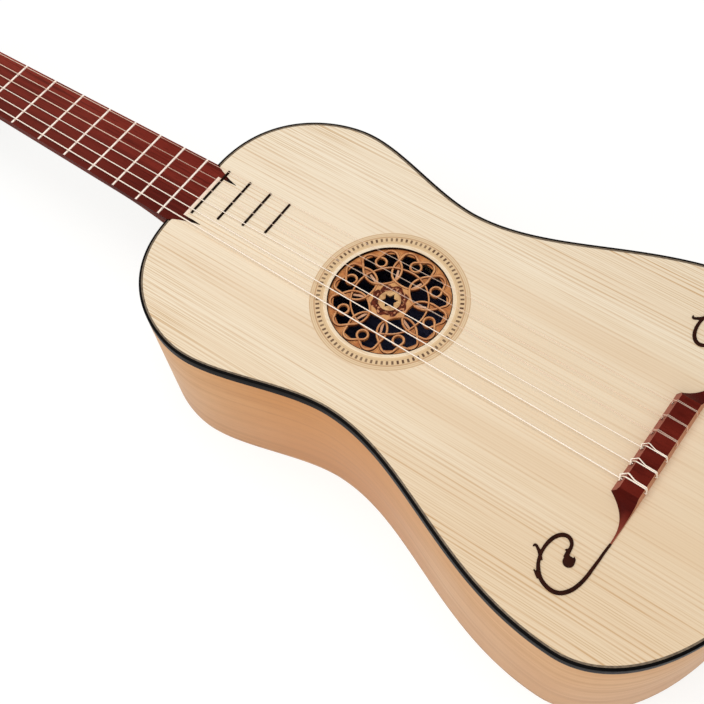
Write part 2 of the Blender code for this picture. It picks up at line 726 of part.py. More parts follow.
def string_x(index, spread):
    """Where string 0 (treble) to string 5 (bass) lies across a spread."""
    return spread / 2 - spread * index / (STRING_COUNT - 1)


def make_nut(carrier):
    half = BOARD_HALF_AT_NUT
    section = [(half, -FRETBOARD_T), (half, NUT_TOP)]
    for i in range(STRING_COUNT):
        x = string_x(i, NUT_SPREAD)
        radius = STRING_DIAMETERS[i] / 2
        notch = radius + GAP
        floor = STRING_AT_NUT - radius - GAP
        section += [(x + notch, NUT_TOP), (x + notch, floor), (x - notch, floor),
                    (x - notch, NUT_TOP)]
    section += [(-half, NUT_TOP), (-half, -FRETBOARD_T)]
    mesh = prism_along_y(section, SCALE_LENGTH, SCALE_LENGTH + NUT_T, "nut")
    finish(mesh, "nut", "bone", carrier)


# Neck and head

def make_neck(carrier):
    """A lofted neck whose heel drops to the back, cut square for the leaning head."""
    start = NECK_JOINT_Y + GAP
    end = HEAD_START_Y - GAP
    top = -FRETBOARD_T - GAP
    heel_t = BODY_DEPTH - HEEL_BOTTOM + top
    fractions = (0.0, 0.06, 0.13, 0.22, 0.34, 0.5, 0.75, 1.0)
    stations = [start + HEEL_L * f for f in fractions]
    rest = end - stations[-1]
    stations += [stations[-1] + rest * f for f in (0.33, 0.67, 1.0)]
    bm = bmesh.new()
    rings = []
    for y in stations:
        share = (y - start) / (end - start)
        depth = NECK_T_AT_BODY + (NECK_T_AT_NUT - NECK_T_AT_BODY) * share
        drop = max(0.0, 1 - (y - start) / HEEL_L) ** HEEL_BEND
        depth += (heel_t - depth) * drop
        half = board_half(min(y, SCALE_LENGTH))
        ring = []
        for i in range(NECK_SECTION_STEPS + 1):
            angle = math.pi * i / NECK_SECTION_STEPS
            side = math.copysign(abs(math.cos(angle)) ** NECK_SIDE_BEND, math.cos(angle))
            down = math.sin(angle) ** NECK_BACK_BEND
            width = half + (HEEL_FOOT_HALF - half) * down * drop
            z = top - depth * down
            lean = math.tan(HEAD_TILT) * (HEAD_TOP_Z - z) if y == stations[-1] else 0.0
            ring.append(bm.verts.new((width * side, y - lean, z)))
        rings.append(ring)
    count = NECK_SECTION_STEPS + 1
    for a, b in zip(rings, rings[1:]):
        for i in range(count):
            j = (i + 1) % count
            bm.faces.new((a[i], a[j], b[j], b[i]))
    bm.faces.new(rings[0])
    bm.faces.new(rings[-1])
    finish(mesh_from(bm, "neck"), "neck", "rosewood", carrier, smooth=40)


def head_frame():
    """From the head's own axes (across, along, out of its front) to the instrument's."""
    tilt = Matrix.Rotation(-HEAD_TILT, 4, "X")
    return Matrix.Translation((0.0, HEAD_START_Y, HEAD_TOP_Z)) @ tilt


def head_outline():
    """Half outline: ears by the nut, sides that widen, and a crown with a point."""
    side_end = HEAD_L - CROWN_L
    half = bezier((HEAD_HALF_AT_NUT, 0.0), (HEAD_HALF_AT_NUT, EAR_L * 0.5),
                  (HEAD_HALF_LOW, EAR_L * 0.5), (HEAD_HALF_LOW, EAR_L), 6)
    half += [(HEAD_HALF_LOW, EAR_L), (HEAD_HALF_TOP, side_end)]
    half += bezier((HEAD_HALF_TOP, side_end), (HEAD_HALF_TOP * 0.86, HEAD_L),
                   (CROWN_HALF * 1.6, HEAD_L - CROWN_L * 0.2),
                   (CROWN_HALF, HEAD_L - CROWN_L * 0.35), 7)[1:]
    half += bezier((CROWN_HALF, HEAD_L - CROWN_L * 0.35), (CROWN_HALF * 0.8, HEAD_L),
                   (CROWN_HALF * 0.4, HEAD_L), (0.0, HEAD_L), 5)
    return half + [(0.0, HEAD_L)] + [(-x, y) for x, y in reversed(half)]


def peg_places():
    """Peg i holds string i: three down the treble side, three up the bass side."""
    treble = list(zip(PEG_OFFSETS, PEG_ROWS))
    return treble + [(-x, y) for x, y in reversed(treble)]


def make_head(carrier):
    frame = head_frame()
    outline = head_outline()
    hole_r = (PEG_R + PEG_PLAY) / math.cos(math.pi / 16)
    holes = [circle(x, y, hole_r, 16) for x, y in peg_places()]
    facing = plate_with_holes(outline, holes, -FACING_T, 0.0, "head_facing", frame)
    finish(facing, "head_facing", "rosewood", carrier)
    low = -FACING_T - GAP - HEAD_T
    block = plate_with_holes(outline, holes, low, -FACING_T - GAP, "head", frame)
    finish(block, "head", "rosewood", carrier)


def peg_profile():
    """Stations down a peg: height, half-width across the head and half-thickness."""
    back = -FACING_T - GAP - HEAD_T
    collar = back - SHANK_L
    button = collar - COLLAR_T
    stations = [(POST_H, POST_R * 0.8, POST_R * 0.8), (POST_H - 2 * PEG_EDGE, POST_R, POST_R),
                (GAP, POST_R, POST_R), (0.0, PEG_R, PEG_R), (back, PEG_R, PEG_R),
                (collar, PEG_R * 0.9, PEG_R * 0.9),
                (collar - PEG_EDGE, COLLAR_R, COLLAR_R),
                (button, COLLAR_R * 0.9, COLLAR_R * 0.9),
                (button - BUTTON_NECK_L, PEG_R * 0.8, BUTTON_HALF_T * 0.9)]
    for share, wide in ((0.22, 0.62), (0.45, 0.96), (0.65, 1.0), (0.85, 0.72), (1.0, 0.22)):
        thick = 1 - 0.5 * share
        stations.append((button - BUTTON_L * share, BUTTON_HALF_W * wide,
                         BUTTON_HALF_T * thick))
    return stations


def make_pegs(carrier):
    """Six friction pegs; each object's origin is on its own axis."""
    frame = head_frame()
    stations = peg_profile()
    for index, (x, y) in enumerate(peg_places()):
        name = "peg_%d" % (index + 1)
        bm = bmesh.new()
        rings = []
        for height, wide, thick in stations:
            rings.append([bm.verts.new((wide * math.cos(math.tau * i / PEG_SIDES),
                                        thick * math.sin(math.tau * i / PEG_SIDES), height))
                          for i in range(PEG_SIDES)])
        for a, b in zip(rings, rings[1:]):
            for i in range(PEG_SIDES):
                j = (i + 1) % PEG_SIDES
                bm.faces.new((a[i], a[j], b[j], b[i]))
        bm.faces.new(rings[0])
        bm.faces.new(rings[-1])
        peg = finish(mesh_from(bm, name), name, "peg_wood", carrier, smooth=40)
        peg.matrix_local = frame @ Matrix.Translation((x, y, 0.0))
        bore = prism(circle(0.0, 0.0, POST_HOLE_R, 8), -2 * PEG_R, 2 * PEG_R, "bore",
                     Matrix.Translation((0.0, 0.0, POST_HOLE_H))
                     @ Matrix.Rotation(math.pi / 2, 4, "X"))
        cut(peg, bore, peg)


# Bridge and scrolls

def bridge_turn():
    """Turns the bridge, its knots and the scrolls together."""
    pivot = Vector((0.0, BRIDGE_PIVOT_Y, 0.0))
    turn = Matrix.Rotation(BRIDGE_TURN, 4, "Z")
    return Matrix.Translation(pivot) @ turn @ Matrix.Translation(-pivot)


def bridge_station(x):
    """Feet and height of the bridge at a distance from its middle."""
    out = max(0.0, x - BRIDGE_CORNER_X) / (WING_TIP_X - BRIDGE_CORNER_X)
    bend = 1 - (1 - out) ** WING_FRONT_BEND
    front = BRIDGE_FRONT_FOOT * (1 - bend) + WING_TIP_Y[0] * bend
    rear = BRIDGE_REAR_FOOT * (1 - out) + WING_TIP_Y[1] * out
    share = max(0.0, x - BRIDGE_HALF) / (WING_TIP_X - BRIDGE_HALF)
    sink = 1 - (1 - share) ** WING_TOP_BEND
    return front, rear, BRIDGE_T * (1 - sink) + WING_TIP_T * sink


def make_bridge(carrier):
    wing = WING_TIP_X - BRIDGE_HALF
    run = [0.0, BRIDGE_HALF, BRIDGE_CORNER_X]
    run += [BRIDGE_HALF + wing * (i / WING_STEPS) ** WING_SPACING for i in range(2, WING_STEPS + 1)]
    stations = [-x for x in reversed(run[1:])] + run
    bm = bmesh.new()
    rings = []
    for x in stations:
        front, rear, tall = bridge_station(abs(x))
        share = tall / BRIDGE_T
        limit = (front - rear) * WING_LEAN_LIMIT
        lean = min(BRIDGE_LEAN * share, limit)
        rear_lean = min(BRIDGE_REAR_LEAN * share, limit)
        edge = BRIDGE_EDGE * rear_lean
        corners = ((front, GAP), (front - lean, GAP + tall - edge),
                   (front - lean - edge, GAP + tall),
                   (rear + rear_lean + edge, GAP + tall),
                   (rear + rear_lean, GAP + tall - edge), (rear, GAP))
        rings.append([bm.verts.new((x, y, z)) for y, z in corners])
    for a, b in zip(rings, rings[1:]):
        for i in range(6):
            j = (i + 1) % 6
            bm.faces.new((a[i], a[j], b[j], b[i]))
    bm.faces.new(rings[0])
    bm.faces.new(rings[-1])
    mesh = mesh_from(bm, "bridge")
    mesh.transform(bridge_turn())
    bridge = finish(mesh, "bridge", "rosewood", carrier)
    bores = []
    for i in range(STRING_COUNT):
        x = string_x(i, BRIDGE_SPREAD)
        ring = circle(x, STRING_AT_BRIDGE, TIE_HOLE_R, TIE_HOLE_SIDES)
        bores.append(prism_along_y(ring, 2 * BRIDGE_REAR_FOOT, -BRIDGE_REAR_FOOT, "bore"))
    cutter = joined(bores, "bridge_bores")
    cutter.transform(bridge_turn())
    cut(bridge, cutter, carrier)


def stroke(points, steps=1):
    """Quads of a drawn line whose width changes; points are (x, y, width)."""
    path = []
    for i in range(len(points) - 1):
        p0 = points[max(i - 1, 0)]
        p1, p2 = points[i], points[i + 1]
        p3 = points[min(i + 2, len(points) - 1)]
        for k in range(steps):
            t = k / steps
            path.append(tuple(0.5 * (2 * b + (c - a) * t + (2 * a - 5 * b + 4 * c - d) * t * t
                                     + (3 * b - a - 3 * c + d) * t ** 3)
                              for a, b, c, d in zip(p0, p1, p2, p3)))
    path.append(points[-1])
    left = []
    right = []
    for i, (x, y, width) in enumerate(path):
        ax, ay, _ = path[max(i - 1, 0)]
        bx, by, _ = path[min(i + 1, len(path) - 1)]
        normal = Vector((ay - by, bx - ax)).normalized() * width / 2
        left.append((x + normal.x, y + normal.y))
        right.append((x - normal.x, y - normal.y))
    return [(right[i], right[i + 1], left[i + 1], left[i]) for i in range(len(path) - 1)]


def make_scrolls(carrier):
    shift = WING_TIP_X + GAP - SCROLL_PATH[0][0]
    for word, side in (("bass", -1), ("treble", 1)):
        name = "scroll_" + word
        pieces = stroke(SCROLL_PATH, 2) + stroke(SCROLL_TWIG) + stroke(SCROLL_BEAK)
        pieces += stroke(SCROLL_LEAF) + stroke(SCROLL_THORN)
        pieces.append(circle(*SCROLL_BALL, 12))
        pieces = [[(side * (x + shift), y) for x, y in piece] for piece in pieces]
        mesh = flat_solid(pieces, GAP, GAP + SCROLL_T, name)
        mesh.transform(bridge_turn())
        finish(mesh, name, "rosewood", carrier)


# Strings

def bridge_face(height, front):
    """Where the bridge's long face is at a height."""
    share = (height - GAP) / BRIDGE_T
    if front:
        return BRIDGE_FRONT_FOOT - BRIDGE_LEAN * share
    return BRIDGE_REAR_FOOT + BRIDGE_REAR_LEAN * share


def knot_route(x, radius):
    """The tie at the bridge, from the string's free end to where it leaves the hole."""
    off = radius + 1.3 * GAP
    apart = 2 * radius + STRAND_GAP
    hole = STRING_AT_BRIDGE
    top = GAP + BRIDGE_T + off
    low = hole - apart
    shoulder = GAP + BRIDGE_T * 0.86

    def front(z, out=0.0):
        return bridge_face(z, True) + off + out

    def rear(z):
        return bridge_face(z, False) - off

    first = x + 1.5 * apart
    wide = x + 2.5 * apart
    last = x + 0.45 * apart
    return [
        (first, rear(hole), hole), (first, rear(shoulder), shoulder),
        (first, rear(top) + 0.6 * off, top),
        (wide, front(top) - 0.6 * off, top), (wide, front(shoulder), shoulder),
        (x + 1.9 * apart, front(hole, 0.7 * apart), shoulder - KNOT_TUCK),
        (x + 0.9 * apart, front(hole, 1.15 * apart), hole + apart * 1.2),
        (x - 0.2 * apart, front(hole, apart * 0.4), hole + apart * 1.05),
        (x - apart, front(hole), hole + 0.2 * apart),
        (x - 0.7 * apart, front(low), low + 0.2 * apart), (x, front(low), low),
        (x + 0.8 * apart, front(low), low + 0.3 * apart),
        (x + 1.1 * apart, front(hole), hole + 0.1 * apart),
        (x + 0.75 * apart, front(shoulder), shoulder),
        (last, front(top) - 0.6 * off, top), (last, rear(top) + 0.6 * off, top),
        (last, rear(shoulder), shoulder), (x + 0.3 * apart, rear(hole), hole + KNOT_TAIL_RISE),
        (x, rear(hole) - 0.3 * apart, hole),
    ]


def winding_route(index, frame):
    """Round the peg's post: from where the string meets it to its end by the hole."""
    px, py = peg_places()[index]
    radius = STRING_DIAMETERS[index] / 2
    side = 1 if px > 0 else -1
    round_r = POST_R + GAP + radius
    pitch = 2 * radius + STRAND_GAP
    total = int(WINDING_TURNS * WINDING_STEPS)
    start_h = POST_HOLE_H - pitch * (WINDING_TURNS + 0.3)
    made = []
    for i in range(total + 1):
        turn = math.tau * i / WINDING_STEPS
        # a string meets the inner side of its post and turns outwards round the far side
        across = -side * math.cos(turn) * round_r
        along = math.sin(turn) * round_r
        height = start_h + pitch * i / WINDING_STEPS
        made.append(frame @ Vector((px + across, py + along, height)))
    return made


def string_route(index):
    radius = STRING_DIAMETERS[index] / 2
    x_bridge = string_x(index, BRIDGE_SPREAD)
    x_nut = string_x(index, NUT_SPREAD)
    route = [Vector(p) for p in knot_route(x_bridge, radius)]
    route.append(Vector((x_bridge, BRIDGE_FRONT_FOOT + STRING_STRAIGHT_FROM,
                         STRING_AT_BRIDGE)))
    route = [bridge_turn() @ p for p in route]
    route += [Vector((x_nut, SCALE_LENGTH, STRING_AT_NUT)),
              Vector((x_nut, SCALE_LENGTH + NUT_T, STRING_AT_NUT))]
    return route + winding_route(index, head_frame())


def least_gap(route, diameter):
    """The least distance between two stretches of a string that aren't neighbours."""
    least = 1.0
    spread = [p for a, b in zip(route, route[1:]) if (b - a).length < 0.05
              for p in (a, a.lerp(b, 0.25), a.lerp(b, 0.5), a.lerp(b, 0.75))]
    run = [0.0]
    for a, b in zip(spread, spread[1:]):
        run.append(run[-1] + (b - a).length)
    for i, p in enumerate(spread):
        for j in range(i + 1, len(spread)):
            if run[j] - run[i] > 3.0 * diameter + 0.0012:
                least = min(least, (p - spread[j]).length - diameter)
    return least


def make_strings(carrier):
    for index, diameter in enumerate(STRING_DIAMETERS):
        name = "string_%d" % (index + 1)
        route = string_route(index)
        line = bpy.data.curves.new(name, "CURVE")
        line.dimensions = "3D"
        line.bevel_depth = diameter / 2
        line.bevel_resolution = 1
        line.use_fill_caps = True
        spline = line.splines.new("POLY")
        spline.points.add(len(route) - 1)
        for point, place in zip(spline.points, route):
            point.co = (*place, 1.0)
        made = bpy.data.objects.new(name, line)
        bpy.context.scene.collection.objects.link(made)
        colour, roughness = FINISHES["gut"]
        metallic = 1.0 if index >= STRING_COUNT // 2 else 0.0
        line.materials.append(material(name + "_finish", colour, roughness, metallic))
        made.parent = carrier
        print(name, "least gap to itself %.2f mm" % (1000 * least_gap(route, diameter)))


def main():
    clear_scene()
    carrier = bpy.data.objects.new("instrument", None)
    bpy.context.scene.collection.objects.link(carrier)
    carrier.location = (0.0, -MIDDLE_Y, BODY_DEPTH)
    make_soundboard(carrier)
    make_rosette(carrier)
    make_rose(carrier)
    make_shell(carrier)
    make_neck(carrier)
    make_head(carrier)
    make_pegs(carrier)
    make_fretboard(carrier)
    make_frets(carrier)
    make_nut(carrier)
    make_bridge(carrier)
    make_scrolls(carrier)
    make_strings(carrier)
    bpy.context.view_layer.update()


main()
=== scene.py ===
"""Looks of the baroque guitar: fine surfaces, woods, metal, strings, floor, light and camera.

Shapes are drawn in millimetres about the point where the strings leave the bridge: x to
the treble side, y to the head, z up from the top of the soundboard. make() sets them in
the frame.
"""
import math

import bpy
import bmesh
from mathutils import Matrix, Vector
from mathutils.geometry import delaunay_2d_cdt


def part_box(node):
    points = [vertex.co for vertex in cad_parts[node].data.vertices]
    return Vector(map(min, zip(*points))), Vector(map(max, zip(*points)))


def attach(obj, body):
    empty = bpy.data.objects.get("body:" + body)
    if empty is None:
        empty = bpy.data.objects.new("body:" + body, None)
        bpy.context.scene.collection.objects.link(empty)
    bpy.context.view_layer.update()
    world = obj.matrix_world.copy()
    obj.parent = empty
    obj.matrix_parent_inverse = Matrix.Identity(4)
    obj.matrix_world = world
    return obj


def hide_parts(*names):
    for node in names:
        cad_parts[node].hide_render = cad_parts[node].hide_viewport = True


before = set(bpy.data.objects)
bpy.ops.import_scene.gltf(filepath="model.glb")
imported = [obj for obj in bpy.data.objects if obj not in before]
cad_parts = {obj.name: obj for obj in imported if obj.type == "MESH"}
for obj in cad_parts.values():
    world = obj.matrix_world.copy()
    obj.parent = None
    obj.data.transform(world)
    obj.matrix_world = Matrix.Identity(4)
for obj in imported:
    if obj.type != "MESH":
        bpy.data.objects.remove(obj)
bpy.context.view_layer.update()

MM = 0.001
STRING_LENGTH = 650.0
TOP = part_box("soundboard")[1].z / MM
FOOT_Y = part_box("nut")[0].y / MM - STRING_LENGTH
DEPTH = TOP     # the back lies at the frame's height 0

# Strings, treble to bass
DIAMETERS = (0.56, 0.64, 0.76, 0.70, 0.82, 0.98)
FIRST_WOUND = 3
NUT_SPREAD = 42.0
BRIDGE_SPREAD = 64.3
AT_NUT = 2.0
AT_BRIDGE = 3.8
STRAND_GAP = 0.6
KNOT_GAP = 0.12
COIL_GAP = 0.15
STRING_SIDES = 12
KNOT_BEND = 0.9
TIE_SPREAD = (1.3, 2.5)         # plain and wound strings

# Body
JOINT_Y = STRING_LENGTH * 2 ** (-9.41 / 12)
SHOULDER = (30.0, JOINT_Y)
UPPER_BOUT = (115.6, JOINT_Y - 84.2)
WAIST = (94.1, JOINT_Y - 193.4)
LOWER_BOUT = (148.3, JOINT_Y - 395.3)
TAIL = (0.0, JOINT_Y - 485.5)
OUTLINE_CURVES = (              # the start, how far each end pulls, and the end
    (SHOULDER, (61.7, 0.0), (0.0, 32.9), UPPER_BOUT),
    (UPPER_BOUT, (0.0, -32.9), (0.0, 33.8), WAIST),
    (WAIST, (0.0, -66.1), (0.0, 82.1), LOWER_BOUT),
    (LOWER_BOUT, (0.0, -50.0), (82.0, 0.0), TAIL),
)
OUTLINE_STEPS = 48
CIRCLE_STEPS = 160
TOP_T = 1.8
BACK_T = 2.5
RIB_T = 2.2
BINDING_W = 1.9
BINDING_H = 7.2
PURFLING_W = 1.3
PURFLING_H = 1.6
CUT = 0.05                      # play round what is let into the soundboard
BEVEL_ANGLE = math.radians(30.0)

# Rose and rosette
ROSE_Y = JOINT_Y - 179.9
HOLE_R = 44.1
ROSETTE_R = (46.0, 56.6)
ROSETTE_T = 0.8
ROSETTE_SEAT = 0.9              # depth of the groove that it lies in
HOLE_SHADE_T = 0.5
PETALS = 8
PETAL_CENTRE = 27.0
PETAL_R = 13.7
PETAL_TIP_SHIFT = (1.1, 22.0)   # how far out the inner end moves, fading at this radius
PETAL_STRAP = (1.5, 0.7)        # width and height
STRAP_SECTION = (               # shares of half its width and of its height
    (-1, 0), (-1, 0.45), (-0.72, 0.86), (-0.3, 1), (0, 0.90), (0.3, 1), (0.72, 0.86),
    (1, 0.45), (1, 0),
)
GARLAND_R = 27.4
GARLAND_STRAP = (1.3, 0.65)
LOBE_CENTRE = (35.8, 7.4)       # outwards and across, from the rose's middle
LOBE_R = 5.4
LOBE_TURN = (85.4, -32.0)       # in degrees; the strap follows the lobe between these
RING_CENTRE = 32.9
RING_R = 3.9
RING_TURN = (-38.7, -180.0)
RIM_R = 39.6
HUB_R = 13.6
HUB_ROWS = 12
LEAF_REACH = (0.6, 1.8)         # past the hub's radius: everywhere, and more at a leaf
LEAF_H = 0.75
VEIN_H = 0.12
STAR_DISC_R = 8.1
STAR_R = (5.9, 3.5)
STAR_PROFILE = (                # share of the way out from the star to the edge, height
    (0.0, -1.1), (0.0, 0.45), (0.12, 0.75), (0.32, 0.85), (0.55, 0.62), (0.85, 0.72),
    (1.0, 0.35), (1.0, -1.1),
)
ROSE_STEPS = 192
LENS_BAR = ((17.9, -0.3), (26.3, 0.1), (26.3, 1.5), (21.5, 1.7), (18.0, 1.0))
GROUND_TOP = -2.1
GROUND_T = 1.2
GROUND_SEAT = 3.0               # how far it reaches under the soundboard
GROUND_STRIP = 0.85             # half the width that carries a petal's strap
STRAP_FOOT = GROUND_TOP + 0.15
WEAVE = 0.28                    # how far a strap rises and sinks

# Fretboard and neck
BOARD_AT_NUT = 24.0
BOARD_AT_BODY = {-1: 31.8, 1: 28.9}    # bass side, treble side
BOARD_T = 5.0
BOARD_EDGE_T = 3.5
HORN_EDGE = ((28.0, 4.9), (26.3, 8.9), (25.1, 12.3), (23.3, 17.5))
HORN_TIP = (21.6, 25.0)
HORN_IN_X = 20.8
TONGUE_L = 10.4
TONGUE_T = 1.75
TONGUE_ASIDE = 0.9      # the horns lie this much towards the bass
END_STRIP = 2.2
METAL_FRETS = 9
METAL_FRET_R = 0.95
METAL_FRET_INSET = 0.25
WOOD_FRET_HALF = 0.85
WOOD_FRET_BASS_X = (-17.8, -11.7, -6.2, -2.4)
WOOD_FRET_TREBLE_X = 28.5
NUT_T = 5.0
HEAD_TILT = math.radians(8.0)
HEAD_TOP_Z = -1.0
HEAD_T = 12.5
FACING_T = 2.0
GAP = 0.3
HEAD_START_Y = STRING_LENGTH + NUT_T + 2 * GAP + BOARD_T * math.tan(HEAD_TILT)
NECK_T = (19.0, 15.5)
NECK_INSET = 0.8
NECK_STEPS = 28
NECK_SIDE_BEND = (0.98, 0.75)
NECK_BACK_BEND = (1.0, 0.85)
HEEL_L = 62.0
HEEL_BOTTOM = 4.5
HEEL_FOOT = 13.0
HEEL_BEND = 3.0
HEEL_POINT = 0.8

# Pegs
PEG_ROWS = (46.0, 94.0, 142.0)
PEG_OFFSETS = (22.5, 24.5, 26.5)
PEG_R = 4.0
PEG_SIDES = 32
POST_R = 3.4
POST_H = 16.0
POST_HOLE_H = 11.5
TURNS = 2.5
THUMB_START = 12.7
THUMB_L = 18.5
THUMB = (               # share of its length, half width, half thickness
    (0.08, 3.4, 2.9), (0.18, 5.4, 2.8), (0.30, 8.0, 2.7), (0.45, 10.0, 2.5),
    (0.60, 10.5, 2.3), (0.75, 9.4, 2.1), (0.88, 6.8, 1.8), (0.96, 3.8, 1.5), (1.0, 1.2, 1.0),
)

# Bridge and scrolls
BRIDGE_T = 7.5
BRIDGE_FRONT = 1.0
BRIDGE_REAR = -17.7
BRIDGE_LEAN = 3.6
BRIDGE_REAR_LEAN = 1.5
BRIDGE_TOP_HALF = 39.0
BRIDGE_CORNER = 41.0
BRIDGE_TURN = math.radians(-1.6)
BRIDGE_PIVOT_Y = -8.0
BORE_R = 0.95
BORE_Y = (-24.0, 6.0)
WING_TIP = 71.4
WING_TIP_T = 1.6
WING_TIP_Y = (-15.9, -17.2)
WING_FRONT_BEND = 2.9
WING_TOP_BEND = 6.0
SCROLL_T = 1.25
SCROLL_VOXEL = 0.2
SCROLL_BALL = (95.3, -1.9, 3.7)
SCROLL_PATH = (         # x, y and width
    (71.0, -16.5, 1.5), (77.8, -16.1, 1.7), (83.7, -16.0, 1.9), (89.3, -15.7, 2.1),
    (95.1, -15.5, 2.3), (99.9, -15.0, 2.4), (104.7, -14.0, 2.5), (108.6, -12.6, 2.6),
    (112.0, -10.5, 2.7), (114.5, -8.0, 2.7), (115.9, -5.0, 2.7), (116.2, -1.7, 2.7),
    (115.6, 2.0, 2.6), (114.2, 5.4, 2.6), (112.2, 8.1, 2.6), (109.6, 10.4, 2.5),
    (106.6, 12.3, 2.3), (103.3, 13.6, 2.2), (99.6, 14.5, 2.1), (95.6, 14.8, 2.2),
    (91.7, 14.5, 2.4), (88.0, 13.6, 2.5), (84.9, 12.0, 2.6), (82.8, 9.9, 2.7),
    (81.9, 7.4, 2.6), (82.3, 4.9, 2.5), (83.9, 2.9, 2.3), (86.1, 1.8, 2.2),
    (88.5, 1.5, 2.4), (91.4, 1.3, 3.0), (94.0, 0.6, 3.6),
)
SCROLL_SPRIGS = (       # a twig, a beak, a leaf and a thorn
    ((104.0, 12.0, 2.0), (100.1, 15.6, 2.2), (98.9, 17.4, 1.9), (97.9, 18.9, 1.7),
     (97.9, 20.2, 1.5), (99.3, 20.7, 0.8)),
    ((93.8, -4.2, 2.2), (92.2, -4.0, 1.6), (90.7, -3.0, 0.4)),
    ((88.9, 1.4, 2.2), (89.5, 2.8, 1.4), (90.2, 3.8, 0.4)),
    ((114.1, 7.3, 2.4), (112.6, 10.0, 1.8), (111.3, 12.5, 0.6)),
)

# Floor, light, and the photograph's camera in the drawing's own axes
STUDIO_WHITE = (1.0, 1.0, 0.985)
SKY_STRENGTH = 0.52             # for light that falls on the guitar
FLOOR_HALF = 4000.0
FLOOR_GAP = 0.2
FLOOR_GLOW = 0.72
LAMPS = (                       # name, place, target, size in metres, power
    ("key", (-300.0, 500.0, 1500.0), (0.0, 150.0, 0.0), 1.6, 13.0),
    ("fill", (-1200.0, -500.0, 700.0), (0.0, 100.0, -50.0), 1.2, 4.0),
)
CAMERA_AT = (-308.8, -52.5, 630.6)
CAMERA_FORWARD = (0.3586, 0.3411, -0.8689)
CAMERA_RIGHT = (0.5805, -0.8105, -0.0786)
CAMERA_LENS = 54.55
SENSOR_W = 36.0

# Marks on the woods
SHOULDER_GRAIN = (285.0, 335.0)
ROSETTE_DASHES = 88
ROSETTE_DASH_BAND = (49.2, 52.0)
ROSETTE_RINGS = (
    (46.7, 52.4, (224, 192, 150)), (48.2, 48.7, (206, 174, 132)),
    (52.4, 53.6, (196, 158, 118)), (53.6, 56.4, (226, 199, 162)),
    (54.2, 54.8, (212, 180, 140)), (55.7, 56.4, (204, 170, 132)),
)
WRAP_PITCH = 0.24       # from one turn of a wound string's wire to the next


# Small tools

def at(x, y, z):
    """A point of the drawing, in metres in the frame."""
    return Vector((x, y + FOOT_Y, z + TOP)) * MM


def make(name, solid, material, slot=None, *replaced, body="guitar", mapped=False, smooth=35):
    """A piece from a solid of the drawing, riding on a body in place of frame nodes.

    A solid is points and faces, and for a mapped piece its UVs too.
    """
    mesh = bpy.data.meshes.new(name)
    mesh.from_pydata([at(*v) for v in solid[0]], [], solid[1])
    if mapped:
        layer = mesh.uv_layers.new(name="UVMap")
        for polygon, corners in zip(mesh.polygons, solid[2]):
            for loop, uv in zip(polygon.loop_indices, corners):
                layer.data[loop].uv = uv
    bm = bmesh.new()
    bm.from_mesh(mesh)
    bmesh.ops.recalc_face_normals(bm, faces=bm.faces[:])
    bm.to_mesh(mesh)
    bm.free()
    mesh.shade_smooth()
    mesh.set_sharp_from_angle(angle=math.radians(smooth))
    mesh.materials.append(material)
    piece = add_object(name, mesh)
    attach(piece, body)
    if replaced:
        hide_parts(*replaced)
    return piece


def add_object(name, data):
    """A new object in the scene."""
    made = bpy.data.objects.new(name, data)
    bpy.context.scene.collection.objects.link(made)
    return made


def bevel(piece, width, segments=2):
    """Soften a piece's edges; the width is in millimetres."""
    step = piece.modifiers.new("soft_edges", "BEVEL")
    step.width = width * MM
    step.segments = segments
    step.limit_method = "ANGLE"
    step.angle_limit = BEVEL_ANGLE
    step.harden_normals = True


def apply_modifiers(piece):
    """Make what the modifiers show the piece's own mesh."""
    graph = bpy.context.evaluated_depsgraph_get()
    mesh = bpy.data.meshes.new_from_object(piece.evaluated_get(graph))
    piece.modifiers.clear()
    old = piece.data
    piece.data = mesh
    bpy.data.meshes.remove(old)


def next_to_each(items):
    """Each item of a closed row with the one after it."""
    return zip(items, [*items[1:], items[0]])


def lengths(points):
    """Distances along a closed row of points, from 0 to the whole."""
    made = [0.0]
    for a, b in next_to_each(points):
        made.append(made[-1] + (Vector(b) - Vector(a)).length)
    return made


def skin(rings, closed=False):
    """Points, faces and UVs (millimetres along and around) of joined rings of points."""
    count = len(rings[0])
    along = lengths([ring[0] for ring in rings])
    around = lengths(rings[len(rings) // 2])
    faces = []
    uvs = []
    for i in range(len(rings) if closed else len(rings) - 1):
        k = (i + 1) % len(rings)
        for j in range(count):
            m = (j + 1) % count
            faces.append((i * count + j, i * count + m, k * count + m, k * count + j))
            uvs.append([(along[i], around[j]), (along[i], around[j + 1]),
                        (along[i + 1], around[j + 1]), (along[i + 1], around[j])])
    if not closed:
        last = (len(rings) - 1) * count
        faces += [tuple(range(count)), tuple(range(last, last + count))]
        uvs += [[(along[end], turn) for turn in around[:count]] for end in (0, -2)]
    return [tuple(p) for ring in rings for p in ring], faces, uvs


def bezier(a, b, c, d, steps):
    """Points of a Bezier curve, all but its last."""
    made = []
    for i in range(steps):
        t = i / steps
        s = 1 - t
        made.append(tuple(s ** 3 * p + 3 * s * s * t * q + 3 * s * t * t * r + t ** 3 * w
                          for p, q, r, w in zip(a, b, c, d)))
    return made


def smooth_path(points, steps):
    """A Catmull-Rom curve through points of any dimension."""
    path = []
    padded = [points[0], *points, points[-1]]
    for p0, p1, p2, p3 in zip(padded, padded[1:], padded[2:], padded[3:]):
        for k in range(steps):
            t = k / steps
            path.append(tuple(0.5 * (2 * b + (c - a) * t + (2 * a - 5 * b + 4 * c - d) * t * t
                                     + (3 * b - a - 3 * c + d) * t ** 3)
                              for a, b, c, d in zip(p0, p1, p2, p3)))
    return path + [tuple(points[-1])]


